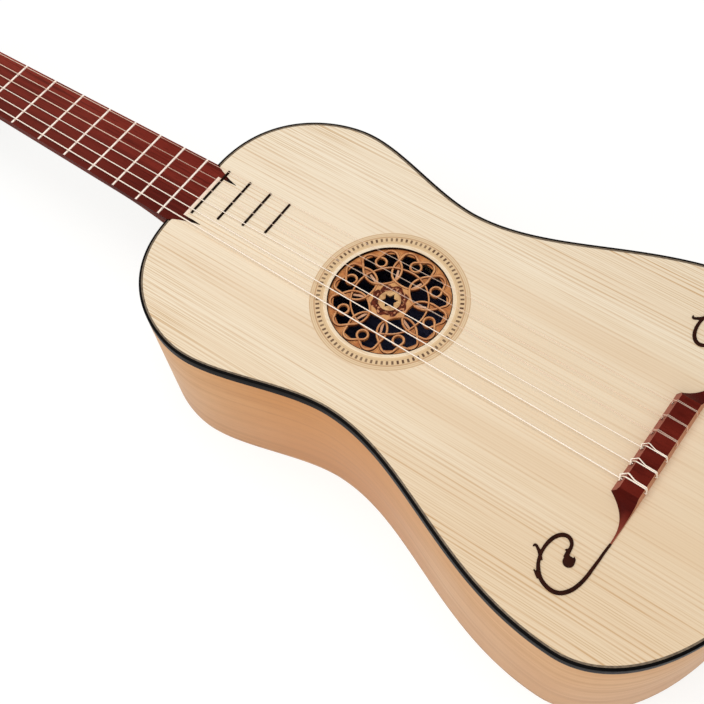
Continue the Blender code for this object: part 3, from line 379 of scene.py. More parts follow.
def round_corners(points, radius):
    """A route whose corners are turned into short curves."""
    points = [Vector(p) for p in points]
    path = [points[0]]
    steps = 6
    for a, b, c in zip(points, points[1:], points[2:]):
        before = b - a
        after = c - b
        cut = min(radius, before.length * 0.48, after.length * 0.48)
        start = b - before.normalized() * cut
        end = b + after.normalized() * cut
        for i in range(steps + 1):
            t = i / steps
            path.append(start * (1 - t) ** 2 + b * 2 * t * (1 - t) + end * t * t)
    return path + [points[-1]]


def tube_rings(path, radius, sides):
    """Rings of points along a path, turning with it and never twisting."""
    rings = []
    side = None
    for i, p in enumerate(path):
        ahead = (path[min(i + 1, len(path) - 1)] - path[max(i - 1, 0)]).normalized()
        if side is None:
            side = ahead.orthogonal().normalized()
        side = (side - ahead * side.dot(ahead)).normalized()
        other = ahead.cross(side)
        rings.append([p + (side * c + other * s) * radius for c, s in circle(0, 0, 1, sides)])
    return rings


def inside(x, y, loop):
    """Whether a point lies within a closed row of points."""
    hit = False
    for (ax, ay), (bx, by) in next_to_each(loop):
        if (ay > y) != (by > y) and x < (bx - ax) * (y - ay) / (by - ay) + ax:
            hit = not hit
    return hit


def plate(outline, holes, low, high):
    """A flat plate with holes, between two heights."""
    points = []
    edges = []
    for loop in [outline] + holes:
        start = len(points)
        points += [Vector(p) for p in loop]
        edges += [(start + i, start + (i + 1) % len(loop)) for i in range(len(loop))]
    flat, _, tris, _, _, _ = delaunay_2d_cdt(points, edges, [], 1, 1e-5)
    kept = []
    for tri in tris:
        middle = (flat[tri[0]] + flat[tri[1]] + flat[tri[2]]) / 3
        if inside(middle.x, middle.y, outline) and not any(
                inside(middle.x, middle.y, hole) for hole in holes):
            kept.append(tri)
    return raise_flat(flat, kept, low, high)


def raise_flat(flat, kept, low, high):
    """A closed solid from flat faces, between two heights."""
    edges = dict.fromkeys(edge for face in kept for edge in next_to_each(face))
    count = len(flat)
    verts = [(v[0], v[1], z) for z in (low, high) for v in flat]
    faces = [tuple(reversed(face)) for face in kept]
    faces += [tuple(i + count for i in face) for face in kept]
    faces += [(a, b, b + count, a + count) for a, b in edges if (b, a) not in edges]
    used = sorted({i for face in faces for i in face})
    renumber = {old: new for new, old in enumerate(used)}
    return [verts[i] for i in used], [tuple(renumber[i] for i in face) for face in faces]


def circle(x, y, radius, steps, y_radius=None):
    """Points on a circle, or on an ellipse with a y_radius of its own."""
    turns = [math.tau * i / steps for i in range(steps)]
    return [(x + radius * math.cos(turn), y + (y_radius or radius) * math.sin(turn))
            for turn in turns]


def arc(centre, radius, turns, steps):
    """Points on a circle between two angles in degrees, both ends included."""
    first, last = (math.radians(turn) for turn in turns)
    angles = [first + (last - first) * i / steps for i in range(steps + 1)]
    return [(centre[0] + radius * math.cos(angle), centre[1] + radius * math.sin(angle))
            for angle in angles]


def together(*solids):
    """Several solids as one, without UVs."""
    verts = []
    faces = []
    for solid in solids:
        start = len(verts)
        verts += solid[0]
        faces += [tuple(i + start for i in face) for face in solid[1]]
    return verts, faces


def srgb(r, g, b):
    """A colour written as it shows, from 0 to 255, as the shader wants it."""
    return tuple(((c / 255 + 0.055) / 1.055) ** 2.4 if c > 10 else c / 255 / 12.92
                 for c in (r, g, b))


def darker(colour, share):
    return tuple(c * share for c in colour)


# Node trees

class Nodes:
    """A node tree with short calls for its nodes."""

    def __init__(self, tree):
        self.tree = tree

    def feed(self, socket, value):
        """Link a socket to a value from another node, or set it."""
        if isinstance(value, bpy.types.NodeSocket):
            self.tree.links.new(value, socket)
        else:
            socket.default_value = (*value, 1) if socket.type == "RGBA" else value

    def add(self, kind, inputs=None, **settings):
        node = self.tree.nodes.new("ShaderNode" + kind)
        for key, value in settings.items():
            setattr(node, key, value)
        for key, value in (inputs or {}).items():
            self.feed(node.inputs[key], value)
        return node

    def calc(self, kind, *values):
        return self.add("Math", dict(enumerate(values)), operation=kind).outputs[0]

    def times(self, a, b):
        return self.calc("MULTIPLY", a, b)

    def plus(self, a, b):
        return self.calc("ADD", a, b)

    def minus(self, a, b):
        return self.calc("SUBTRACT", a, b)

    def size(self, a):
        return self.calc("ABSOLUTE", a)

    def length(self, a, b):
        return self.calc("SQRT", self.plus(self.times(a, a), self.times(b, b)))

    def fade(self, value, low, high, start=0.0, end=1.0, **settings):
        """Start at a low value, end at a high one, and level beyond both."""
        node = self.add("MapRange", {"Value": value, "From Min": low, "From Max": high,
                                     "To Min": start, "To Max": end}, **settings)
        return node.outputs[0]

    def between(self, value, low, high, soft):
        """1 where a value lies between two limits, with soft edges."""
        return self.times(self.fade(value, low - soft, low + soft),
                          self.fade(value, high - soft, high + soft, 1.0, 0.0))

    def split(self, vector):
        return self.add("SeparateXYZ", {"Vector": vector}).outputs[:]

    def join(self, x, y, z):
        return self.add("CombineXYZ", {0: x, 1: y, 2: z}).outputs[0]

    def mix(self, share, a, b):
        return self.add("Mix", {0: share, 6: a, 7: b}, data_type="RGBA").outputs[2]

    def noise(self, vector, scale, detail=2.0, roughness=0.5, distortion=0.0):
        """The scale is one number, or a tuple with one for each direction."""
        if isinstance(scale, tuple):
            vector = self.add("Mapping", {"Vector": vector, "Scale": scale}).outputs[0]
            scale = 1.0
        return self.add("TexNoise", {"Vector": vector, "Scale": scale, "Detail": detail,
                                     "Roughness": roughness,
                                     "Distortion": distortion}).outputs["Fac"]

    def ramp(self, value, *stops):
        """Stops are (position, colour or grey)."""
        node = self.add("ValToRGB", {"Fac": value})
        marks = node.color_ramp.elements
        while len(marks) < len(stops):
            marks.new(0.5)
        for mark, (position, colour) in zip(marks, stops):
            mark.position = position
            mark.color = (*([colour] * 3 if isinstance(colour, float) else colour), 1)
        return node.outputs["Color"]


class Paint(Nodes):
    """One material's nodes and shader."""

    def __init__(self, name, roughness, specular=0.5, ior=1.5, metallic=0.0):
        self.material = bpy.data.materials.new(name)
        self.material.use_nodes = True
        super().__init__(self.material.node_tree)
        self.shader = self.tree.nodes["Principled BSDF"]
        self.set("Roughness", roughness)
        self.set("Metallic", metallic)
        self.set("Specular IOR Level", specular)
        self.set("IOR", ior)

    def set(self, socket, value):
        self.feed(self.shader.inputs[socket], value)

    def coloured(self, colour):
        """The material, with its base colour."""
        self.set("Base Color", colour)
        return self.material

    def bump(self, height, distance, strength):
        """Distance is in millimetres."""
        node = self.add("Bump", {"Height": height, "Distance": distance * MM,
                                 "Strength": strength})
        self.set("Normal", node.outputs["Normal"])

    def place(self, kind="Object"):
        return self.add("TexCoord").outputs[kind]

    def drawn(self, from_y=0.0):
        """x and y in the drawing's millimetres, y counted from from_y."""
        x, y, _ = self.split(self.place())
        return self.times(x, 1 / MM), self.minus(self.times(y, 1 / MM), from_y + FOOT_Y)

    def polar(self):
        """Radius from the rose's middle in millimetres, and angle in radians."""
        across, along = self.drawn(ROSE_Y)
        return self.length(across, along), self.calc("ARCTAN2", along, across)

    def lines(self, value, per_metre, width, soft):
        """Fine lines at uneven distances across a direction: 1 on a line, 0 off it."""
        cells = self.add("TexVoronoi", {"W": value, "Scale": per_metre, "Randomness": 0.9},
                         voronoi_dimensions="1D", feature="DISTANCE_TO_EDGE")
        return self.ramp(cells.outputs["Distance"], (width, 1.0), (width + soft, 0.0))


# Woods, metal and strings

def spruce():
    """Straight, fine grain along the strings; it shows most at the edges and shoulders."""
    p = Paint("spruce", 0.45, 0.22)
    x, y, z = p.split(p.place())
    aside = p.size(x)
    drift = p.noise(p.join(aside, y, z), (3.0, 1.6, 1.0), 1.0)
    across = p.plus(aside, p.times(drift, 0.004))
    bent = p.join(across, y, z)
    bands = p.noise(bent, (30.0, 0.5, 1.0), 2.0, 0.6)
    groups = p.noise(bent, (70.0, 2.6, 1.0), 3.0, 0.7)
    broken = p.ramp(p.noise(bent, (420.0, 14.0, 1.0), 2.0, 0.6), (0.36, 0.25), (0.60, 1.0))
    fibres = p.noise(bent, (1500.0, 9.0, 1.0), 3.0, 0.6)
    years = p.lines(across, 300.0, 0.06, 0.16)
    finer = p.lines(across, 640.0, 0.08, 0.20)
    up = p.fade(y, *((end + FOOT_Y) * MM for end in SHOULDER_GRAIN), 1.0, 1.9)
    shown = p.times(p.fade(aside, 0.040, 0.115, 0.34, 1.3), up)
    wood = p.ramp(bands, (0.30, srgb(244, 228, 203)), (0.50, srgb(240, 221, 193)),
                  (0.70, srgb(234, 210, 179)))
    # painted light and shade: paler towards the treble shoulder, where the light comes from,
    # and darker and warmer towards the bass side of the tail
    light_slope = p.plus(p.times(x, 5.0), p.times(p.minus(y, (150.0 + FOOT_Y) * MM), 3.3))
    wood = p.mix(p.fade(light_slope, -0.1, 0.8, 0.0, 0.55), wood, srgb(252, 239, 217))
    wood = p.mix(p.fade(light_slope, -0.25, -0.9, 0.0, 0.55), wood, srgb(228, 199, 162))
    for lines, stops, ink in ((years, ((0.42, 0.12), (0.58, 1.0)), srgb(204, 164, 119)),
                              (finer, ((0.38, 0.62), (0.60, 0.22)), srgb(206, 172, 128))):
        share = p.times(p.times(p.ramp(groups, *stops), shown), broken)
        wood = p.mix(p.times(lines, share), wood, ink)
    p.bump(p.mix(0.5, years, fibres), 0.03, 0.4)
    return p.coloured(p.mix(p.ramp(fibres, (0.40, 0.0), (0.75, 0.32)), wood,
                            srgb(224, 198, 162)))


def rib_wood():
    """Light reddish-brown wood whose grain follows the rib round the body."""
    p = Paint("rib_wood", 0.42, 0.1)
    place = p.place("UV")
    streaks = p.noise(place, (0.004, 0.16, 1.0), 3.0, 0.6, 0.6)
    cloud = p.noise(place, (0.012, 0.018, 1.0))
    pores = p.noise(place, (0.10, 3.2, 1.0))
    wood = p.ramp(cloud, (0.30, srgb(230, 184, 138)), (0.70, srgb(220, 168, 118)))
    # painted shade: darker and more orange towards the waist
    off_waist = p.size(p.drawn(WAIST[1])[1])
    waist = p.fade(off_waist, 140.0, 20.0, interpolation_type="SMOOTHSTEP")
    wood = p.mix(p.times(waist, 0.8), wood, srgb(214, 148, 90))
    wood = p.mix(p.ramp(streaks, (0.42, 0.0), (0.72, 0.50)), wood, srgb(192, 134, 86))
    p.bump(pores, 0.02, 0.35)
    return p.coloured(p.mix(p.ramp(pores, (0.56, 0.0), (0.72, 0.30)), wood,
                            srgb(170, 116, 72)))


def back_wood():
    """As the ribs outside; its inner face is painted a dark bluish shade, standing in for the
    shade inside the body as it looks through the rose.
    """
    p = Paint("back_wood", 0.40, 0.2)
    streaks = p.noise(p.place(), (160.0, 4.0, 1.0), 3.0, 0.6, 0.6)
    pores = p.noise(p.place(), (3200.0, 100.0, 1.0))
    wood = p.ramp(streaks, (0.35, srgb(220, 174, 132)), (0.72, srgb(192, 138, 92)))
    outside = p.mix(p.ramp(pores, (0.56, 0.0), (0.72, 0.30)), wood, srgb(170, 116, 72))
    # painted shade: the inner face is dark and bluish in place of the dark inside of the body
    within = p.ramp(streaks, (0.35, srgb(92, 92, 124)), (0.72, srgb(60, 60, 86)))
    up = p.split(p.place("Normal"))[2]
    p.bump(pores, 0.02, 0.35)
    return p.coloured(p.mix(p.calc("GREATER_THAN", up, 0.5), outside, within))


def grained(p, dark, light, streak, roughness, along=1.0):
    """Base colour of a dark wood: cloudy, streaked along y, with small open pores."""
    place = p.place()
    streaks = p.noise(place, (420.0, 7.0 * along, 420.0), 3.0, 0.6, 0.4)
    cloud = p.noise(place, (60.0, 6.0 * along, 60.0))
    pores = p.noise(place, (2600.0, 130.0 * along, 2600.0), 1.0)
    wood = p.ramp(cloud, (0.30, dark), (0.70, light))
    wood = p.mix(p.ramp(streaks, (0.50, 0.0), (0.68, 0.75)), wood, streak)
    p.set("Roughness", p.ramp(pores, (0.4, roughness - 0.04), (0.7, roughness + 0.14)))
    p.bump(p.ramp(pores, (0.56, 1.0), (0.68, 0.0)), 0.03, 0.5)
    return p.mix(p.ramp(pores, (0.60, 0.0), (0.68, 0.45)), wood, darker(dark, 0.35))


def rosewood(name, dark, light, streak, roughness=0.38, along=1.0, ior=1.16):
    p = Paint(name, roughness, 0.3, ior)
    return p.coloured(grained(p, dark, light, streak, roughness, along))


def board_wood():
    """The fretboard: red-brown, near black at the horns, with a pale strip at its end; painted
    shade darkens it towards the bass side and a painted sheen pales it towards the nut.
    """
    p = Paint("board_wood", 0.42, 0.4, 1.12)
    wood = grained(p, srgb(100, 30, 22), srgb(136, 50, 38), srgb(66, 18, 12), 0.42)
    x, y = p.drawn(JOINT_Y)
    across = p.plus(x, TONGUE_ASIDE)
    drop = p.times(y, -1.0)
    # painted shade towards the bass side, a painted sheen towards the nut, and near black at
    # the horns
    for value, start, end, most, ink in (
            (across, 14.0, -26.0, 0.66, srgb(66, 18, 14)),
            (drop, -40.0, -130.0, 0.12, srgb(150, 72, 60)),
            (drop, 9.0, 17.0, 1.0, srgb(24, 12, 8))):
        wood = p.mix(p.fade(value, start, end, 0.0, most), wood, ink)
    strip = p.times(p.between(drop, TONGUE_L - END_STRIP, TONGUE_L + 2.0, 0.08),
                    p.calc("LESS_THAN", p.size(across), HORN_IN_X))
    return p.coloured(p.mix(strip, wood, srgb(250, 226, 206)))


def bridge_wood():
    """Deep red-brown on top, with painted highlights on the long front and rear faces, painted
    shade on the sloping wing facets and painted light further out on the wings.
    """
    p = Paint("bridge_wood", 0.42, 0.4, 1.12)
    wood = grained(p, srgb(86, 22, 14), srgb(106, 32, 22), srgb(74, 16, 9), 0.40, 8.0)
    _, ny, nz = p.split(p.place("Normal"))
    aside = p.size(p.drawn()[0])
    wing = p.times(p.between(aside, BRIDGE_TOP_HALF, 54.0, 0.3), p.fade(nz, 0.985, 0.96))
    front = p.times(p.calc("GREATER_THAN", ny, 0.6), p.calc("LESS_THAN", aside, BRIDGE_CORNER))
    rear = p.times(p.calc("LESS_THAN", ny, -0.6),
                   p.fade(aside, BRIDGE_CORNER, 58.0, 0.64, 0.3))
    # painted shade on the wing facets, painted light further out on the wings, painted
    # highlights on the front and rear faces
    for share, ink in ((p.times(wing, 0.7), srgb(62, 9, 5)),
                       (p.fade(aside, 50.0, WING_TIP - 6.0, 0.0, 0.8), srgb(142, 68, 52)),
                       (p.times(front, 0.5), srgb(206, 132, 112)),
                       (rear, srgb(236, 172, 134))):
        wood = p.mix(share, wood, ink)
    return p.coloured(wood)


def black_wood(name, dark, light):
    p = Paint(name, 0.34, 0.4, 1.12)
    grain = p.noise(p.place(), (700.0, 25.0, 700.0))
    p.set("Roughness", p.ramp(grain, (0.35, 0.30), (0.75, 0.44)))
    p.bump(grain, 0.02, 0.4)
    return p.coloured(p.ramp(grain, (0.35, dark), (0.75, light)))


def inner_wood():
    """Pale, unpolished wood with marks of the saw."""
    p = Paint("inner_wood", 0.62)
    grain = p.noise(p.place(), (500.0, 12.0, 500.0), 3.0)
    saw = p.noise(p.place(), (60.0, 900.0, 60.0), 1.0)
    wood = p.ramp(grain, (0.35, srgb(226, 200, 160)), (0.70, srgb(200, 168, 124)))
    p.bump(saw, 0.05, 0.5)
    return p.coloured(p.mix(p.ramp(saw, (0.5, 0.0), (0.8, 0.25)), wood, srgb(182, 150, 108)))


def rosette_wood():
    """Rings of darker and lighter wood, with a ring of short dark dashes."""
    p = Paint("rosette_wood", 0.45, 0.22)
    radius, angle = p.polar()
    grain = p.noise(p.place(), (500.0, 500.0, 1.0), 3.0)
    wood = p.ramp(grain, (0.35, srgb(248, 226, 194)), (0.70, srgb(240, 214, 178)))
    for low, high, ink in ROSETTE_RINGS:
        wood = p.mix(p.between(radius, low, high, 0.22), wood, srgb(*ink))
    wave = p.calc("COSINE", p.times(angle, float(ROSETTE_DASHES)))
    uneven = p.ramp(p.noise(p.place(), 70.0), (0.35, 0.72), (0.62, 1.0))
    dash = p.times(p.times(p.between(radius, *ROSETTE_DASH_BAND, 0.25), uneven),
                   p.between(wave, 0.2, 2.0, 0.3))
    p.bump(grain, 0.02, 0.3)
    return p.coloured(p.mix(dash, wood, srgb(84, 52, 30)))


def carved_colour(p, light, dark, grain_scale):
    """Cloudy wood with small dark flecks, and painted shade on its steep sides."""
    cloud = p.noise(p.place(), grain_scale, 3.0, 0.6)
    fine = p.noise(p.place(), (1400.0, 200.0, 1400.0))
    wood = p.ramp(cloud, (0.32, dark), (0.62, light))
    wood = p.mix(p.ramp(fine, (0.5, 0.0), (0.75, 0.4)), wood, darker(dark, 0.5))
    p.bump(p.mix(0.5, cloud, fine), 0.05, 0.5)
    # painted shade: darker where the surface turns steep
    steep_shade = p.fade(p.split(p.place("Normal"))[2], 0.75, 0.35)
    return p.mix(p.times(steep_shade, 0.8), wood, darker(dark, 0.25))


def carved_wood(name, light, dark, grain_scale=160.0):
    p = Paint(name, 0.45, 0.2)
    return p.coloured(carved_colour(p, light, dark, grain_scale))


def strap_wood():
    """Tan straps with painted light: pinkish highlights on the sides towards the head and
    brown painted shade on those turned away.
    """
    p = Paint("rose_strap_wood", 0.45, 0.15)
    wood = carved_colour(p, srgb(220, 160, 108), srgb(194, 126, 76), 160.0)
    nx, ny, _ = p.split(p.place("Normal"))
    # painted highlight and shade by which way the surface faces
    facing = p.plus(p.times(nx, 0.84), p.times(ny, 0.54))
    wood = p.mix(p.fade(facing, 0.10, 0.50, 0.0, 0.75), wood, srgb(240, 198, 168))
    return p.coloured(p.mix(p.fade(facing, -0.15, -0.60, 0.0, 0.75), wood, srgb(118, 56, 28)))


def rose_ground_wood():
    """Orange-brown, with two dark lines of painted shade along either side of every strap."""
    p = Paint("rose_ground_wood", 0.45, 0.2)
    wood = carved_colour(p, srgb(216, 148, 88), srgb(186, 110, 58), 160.0)
    radius, angle = p.polar()
    step = math.tau / PETALS
    # the angle from the nearest petal's middle line, so that one petal stands for all
    turn = p.size(p.calc("WRAP", angle, step / 2, -step / 2))
    along = p.times(radius, p.calc("COSINE", turn))
    aside = p.times(radius, p.calc("SINE", turn))
    outer = p.calc("GREATER_THAN", radius, math.hypot(*LOBE_CENTRE) - 2.0)
    inner = p.minus(1.0, outer)
    next_petal = (PETAL_CENTRE * math.cos(step), PETAL_CENTRE * math.sin(step))
    # painted shade along both sides of the straps, where they stand above the ground
    strap_edge_shade = 0.0
    for (x, y), ring_r, half, where in (((PETAL_CENTRE, 0.0), PETAL_R, 0.78, inner),
                                        (next_petal, PETAL_R, 0.78, inner),
                                        (LOBE_CENTRE, LOBE_R, 0.75, outer),
                                        ((0.0, 0.0), GARLAND_R, 0.65, inner)):
        off = p.size(p.minus(p.length(p.minus(along, x), p.minus(aside, y)), ring_r))
        first = p.between(off, half - 0.2, half + 0.42, 0.08)
        second = p.times(p.between(off, half + 1.15, half + 1.4, 0.08), 0.7)
        both = p.times(p.calc("MAXIMUM", first, second), where)
        strap_edge_shade = p.calc("MAXIMUM", both, strap_edge_shade)
    return p.coloured(p.mix(p.times(strap_edge_shade, 0.9), wood, srgb(70, 26, 12)))


def rose_hub_wood():
    """Red-brown carving with painted pinkish highlights, tan at its edge between the petals.
    """
    p = Paint("rose_hub_wood", 0.50, 0.3, 1.2)
    wood = carved_colour(p, srgb(106, 46, 28), srgb(52, 19, 11), 420.0)
    # painted highlights: pinkish spots laid on by noise
    lights = p.ramp(p.noise(p.place(), 460.0), (0.56, 0.0), (0.63, 0.8))
    wood = p.mix(lights, wood, srgb(216, 152, 110))
    radius, angle = p.polar()
    wave = p.calc("COSINE", p.times(angle, float(PETALS)))
    edge = p.fade(p.minus(radius, p.times(wave, 0.9)), HUB_R - 1.2, HUB_R - 0.6)
    return p.coloured(p.mix(edge, wood, srgb(216, 160, 106)))


def bone():
    p = Paint("bone", 0.28)
    cloud = p.noise(p.place(), 180.0, 3.0)
    p.bump(cloud, 0.01, 0.3)
    return p.coloured(p.ramp(cloud, (0.35, srgb(240, 232, 212)), (0.7, srgb(228, 216, 190))))


def fret_metal():
    p = Paint("fret_metal", 0.30, 0.4, metallic=0.75)
    wear = p.noise(p.place(), (900.0, 2500.0, 900.0))
    p.set("Roughness", p.ramp(wear, (0.35, 0.22), (0.70, 0.36)))
    return p.coloured(p.ramp(wear, (0.35, srgb(252, 238, 226)), (0.70, srgb(240, 222, 208))))


def wound_string():
    """Fine bright wire wrapped round a core; the wrap is a bump along the string, with painted
    shade in the hollows between the turns and painted light on their crests.
    """
    p = Paint("wound_string", 0.40, 0.2, metallic=0.20)
    wrap = p.calc("SINE", p.times(p.split(p.place("UV"))[0], math.tau / WRAP_PITCH))
    p.bump(wrap, 0.012, 0.5)
    # painted shade in the hollows between turns, painted light on the crests
    return p.coloured(p.ramp(p.calc("MULTIPLY_ADD", wrap, 0.5, 0.5),
                             (0.0, srgb(238, 218, 200)), (0.5, srgb(255, 242, 226))))


def plain_string():
    """Pale, half-clear drawn string with a slight pinkish tone, denser towards the nut."""
    p = Paint("plain_string", 0.34, 0.15)
    p.set("Alpha", p.fade(p.drawn(JOINT_Y)[1], 55.0, 110.0, 0.3, 0.85))
    tint = p.noise(p.place(), 90.0, 1.0)
    p.bump(p.noise(p.place(), 700.0, 1.0), 0.004, 0.2)
    return p.coloured(p.ramp(tint, (0.3, srgb(252, 226, 204)), (0.7, srgb(246, 214, 192))))


SPRUCE = spruce()
RIB = rib_wood()
BACK = back_wood()
BLACK = black_wood("black_wood", srgb(3, 2, 2), srgb(12, 9, 8))
FRET_WOOD = black_wood("wooden_fret_wood", srgb(20, 10, 6), srgb(40, 22, 14))
# a near black ring of painted shade at the soundhole's edge
HOLE_SHADE = black_wood("hole_shade_wood", srgb(26, 11, 7), srgb(42, 20, 12))
INNER = inner_wood()
BOARD = board_wood()
NECK = rosewood("neck_wood", srgb(92, 38, 28), srgb(116, 52, 40), srgb(70, 26, 18), 0.46,
                ior=1.06)
FACING = rosewood("facing_wood", srgb(84, 26, 18), srgb(112, 42, 30), srgb(56, 16, 10))
BRIDGE = bridge_wood()
SCROLL = rosewood("scroll_wood", srgb(38, 14, 7), srgb(54, 22, 11), srgb(26, 9, 5), 0.46, 20.0)
PEG = rosewood("peg_wood", srgb(52, 34, 26), srgb(70, 46, 34), srgb(34, 22, 17), 0.30, 20.0)
PURFLING = carved_wood("purfling_wood", srgb(128, 112, 92), srgb(98, 82, 66), 300.0)
ROSETTE = rosette_wood()
GROUND = rose_ground_wood()
STRAP = strap_wood()
LENS = carved_wood("rose_lens_wood", srgb(222, 174, 140), srgb(200, 148, 114))
HUB = rose_hub_wood()
STAR = carved_wood("rose_star_wood", srgb(222, 178, 124), srgb(180, 130, 82))
BONE = bone()
METAL = fret_metal()
WOUND = wound_string()
PLAIN = plain_string()


# Body

def half_outline():
    """The outline on the treble side, from the joint to the tail."""
    points = [(0.0, JOINT_Y)]
    for start, pull_a, pull_b, end in OUTLINE_CURVES:
        points += bezier(start, (start[0] + pull_a[0], start[1] + pull_a[1]),
                         (end[0] + pull_b[0], end[1] + pull_b[1]), end, OUTLINE_STEPS)
    return points + [TAIL]


def inward_normals(loop):
    """Directions that point into a loop, one at each of its points."""
    return [Vector((by - ay, ax - bx)).normalized()
            for (ax, ay), (bx, by) in zip([loop[-1], *loop[:-1]], [*loop[1:], loop[0]])]


HALF = half_outline()
WHOLE = HALF + [(-x, y) for x, y in reversed(HALF[1:-1])]
NORMALS = inward_normals(WHOLE)


def around_body(profile, treble_x, bass_x):
    """Sweep a profile of (inset, height) round the body's edge, from neck to neck."""
    near = 0.2
    kept = [i for i, (x, _) in enumerate(WHOLE) if x > treble_x + near or x < -bass_x - near]
    inwards = Vector((0.0, -1.0))
    path = [(treble_x, JOINT_Y, inwards)]
    path += [(*WHOLE[i], NORMALS[i]) for i in range(kept[0], kept[-1] + 1)]
    path += [(-bass_x, JOINT_Y, inwards)]
    return skin([[(x + n.x * inset, y + n.y * inset, z) for inset, z in profile]
                 for x, y, n in path])


def board_edge(y, side):
    """How far the fretboard reaches to one side of the middle."""
    share = (STRING_LENGTH - y) / (STRING_LENGTH - JOINT_Y)
    return BOARD_AT_NUT + (BOARD_AT_BODY[side] - BOARD_AT_NUT) * share


def tongue_edge(grow, side):
    """One edge of the part of the fretboard that lies over the body."""
    shift = -TONGUE_ASIDE * side
    in_x = HORN_IN_X + shift - grow
    outer = [(board_edge(JOINT_Y, side) + grow, 0.0)]
    outer += [(x + shift + grow, drop) for x, drop in HORN_EDGE]
    outer += [(HORN_TIP[0] + shift + grow * 0.6, HORN_TIP[1] + grow)]
    inner = [(HORN_TIP[0] + shift - 0.25 - grow, HORN_TIP[1] + grow)]
    inner += [(in_x, 17.9), (in_x + 0.1, 13.0), (in_x, TONGUE_L + grow)]
    smooth = smooth_path(outer, 4) + smooth_path(inner[:3], 4) + inner[3:]
    return [(side * x, JOINT_Y - drop) for x, drop in smooth]


def rose_circle(radius):
    return circle(0, ROSE_Y, radius, CIRCLE_STEPS)


def washer(outer, inner, low, high):
    """A flat ring about the rose's middle."""
    return plate(rose_circle(outer), [rose_circle(inner)], low, high)


def make_soundboard():
    inset = BINDING_W + PURFLING_W
    edge_y = JOINT_Y - inset
    half = [(x + n.x * inset, y + n.y * inset) for (x, y), n in zip(HALF, NORMALS)]
    outline = []
    for side in (1, -1):
        root = board_edge(JOINT_Y, side) + CUT
        first = next(i for i, p in enumerate(half) if p[0] > root)
        notch = [p for p in tongue_edge(CUT, side) if p[1] < edge_y]
        run = notch[::-1] + [(side * root, edge_y)]
        run += [(side * x, y) for x, y in half[first:-1]]
        outline += run + [half[-1]] if side > 0 else run[::-1]
    inner, outer = ROSETTE_R
    top = together(plate(outline, [rose_circle(outer)], -TOP_T, 0.0),
                   washer(inner, HOLE_R, -TOP_T, 0.0),
                   washer(outer, inner, -TOP_T, -ROSETTE_SEAT))
    bevel(make("spruce_top", top, SPRUCE, "spruce", "soundboard"), 0.12)
    # a dark ring of painted shade round the hole's wall, for the shade at its edge
    make("hole_shade", washer(HOLE_R, HOLE_R - HOLE_SHADE_T, GROUND_TOP, -0.15), HOLE_SHADE,
         "rosette_wood")
    make("rosette_inlay", washer(outer, inner, -ROSETTE_T, 0.0), ROSETTE, "rosette_wood",
         "rosette")


def make_edges():
    """The black binding, rounded at its outer edge, and the purfling inside it."""
    starts = (board_edge(JOINT_Y, 1), board_edge(JOINT_Y, -1))
    profile = [(0.0, -BINDING_H), (0.0, -0.9), (0.07, -0.56), (0.26, -0.26), (0.56, -0.07),
               (0.9, 0.0), (BINDING_W, 0.0), (BINDING_W, -BINDING_H)]
    make("edge_binding", around_body(profile, *starts), BLACK, "black_wood", "binding_bass",
         "binding_treble", mapped=True)
    inner = BINDING_W + PURFLING_W
    profile = [(BINDING_W, -PURFLING_H), (BINDING_W, 0.0), (inner, 0.0),
               (inner, -PURFLING_H)]
    make("purfling", around_body(profile, *starts), PURFLING, "rosette_wood", mapped=True)


def make_ribs_and_back():
    low = -DEPTH + BACK_T
    profile = [(0.03, -BINDING_H), (0.0, -BINDING_H - 0.1), (0.0, low + 0.1), (0.05, low),
               (RIB_T, low), (RIB_T, -BINDING_H)]
    make("ribs", around_body(profile, 0.5, 0.5), RIB, "rib_wood", "rib_bass", "rib_treble",
         mapped=True)
    verts, faces = plate(WHOLE, [], -DEPTH, low)
    uvs = [[(verts[i][1], verts[i][0]) for i in face] for face in faces]
    back = make("back_plate", (verts, faces, uvs), BACK, "rib_wood", "back", mapped=True)
    bevel(back, 0.7, 3)


# Rose

def beside_path(path, i, off):
    """The point beside the i-th point of a closed flat path, on its right."""
    (ax, ay), (bx, by) = path[i - 1], path[(i + 1) % len(path)]
    length = math.hypot(bx - ax, by - ay)
    return path[i][0] + off * (by - ay) / length, path[i][1] - off * (bx - ax) / length


def path_strap(path, strap, weave):
    """A low rounded strap on a closed flat path; weave(angle) is its rise and fall."""
    width, height = strap
    rings = []
    for i in range(len(path)):
        base = STRAP_FOOT + WEAVE * (1 + weave(math.tau * i / len(path)))
        rings.append([(*beside_path(path, i, width / 2 * across), base + height * up)
                      for across, up in STRAP_SECTION])
    return skin(rings, closed=True)


def half_petal():
    """Half of a petal's strap, as (outwards, across): side, lobe, crossing, half the loop."""
    path = arc((PETAL_CENTRE, 0.0), PETAL_R, (180.0, LOBE_TURN[0]), 40)
    path += arc(LOBE_CENTRE, LOBE_R, LOBE_TURN, 24)
    path += arc((RING_CENTRE, 0.0), RING_R, RING_TURN, 20)
    shift, still = PETAL_TIP_SHIFT
    inmost = PETAL_CENTRE - PETAL_R
    for i, (out, across) in enumerate(path):
        r = math.hypot(out, across)
        scale = 1 + shift * max(0.0, still - r) / (still - inmost) / r
        path[i] = (out * scale, across * scale)
    filled = [path[0]]
    for a, b in zip(path, path[1:]):
        parts = max(1, math.ceil(math.dist(a, b)))
        filled += [(a[0] + (b[0] - a[0]) * k / parts, a[1] + (b[1] - a[1]) * k / parts)
                   for k in range(1, parts + 1)]
    return filled


def mirrored(half):
    """The closed path made of a half one and its mirror image."""
    return half + [(out, -across) for out, across in reversed(half[1:-1])]


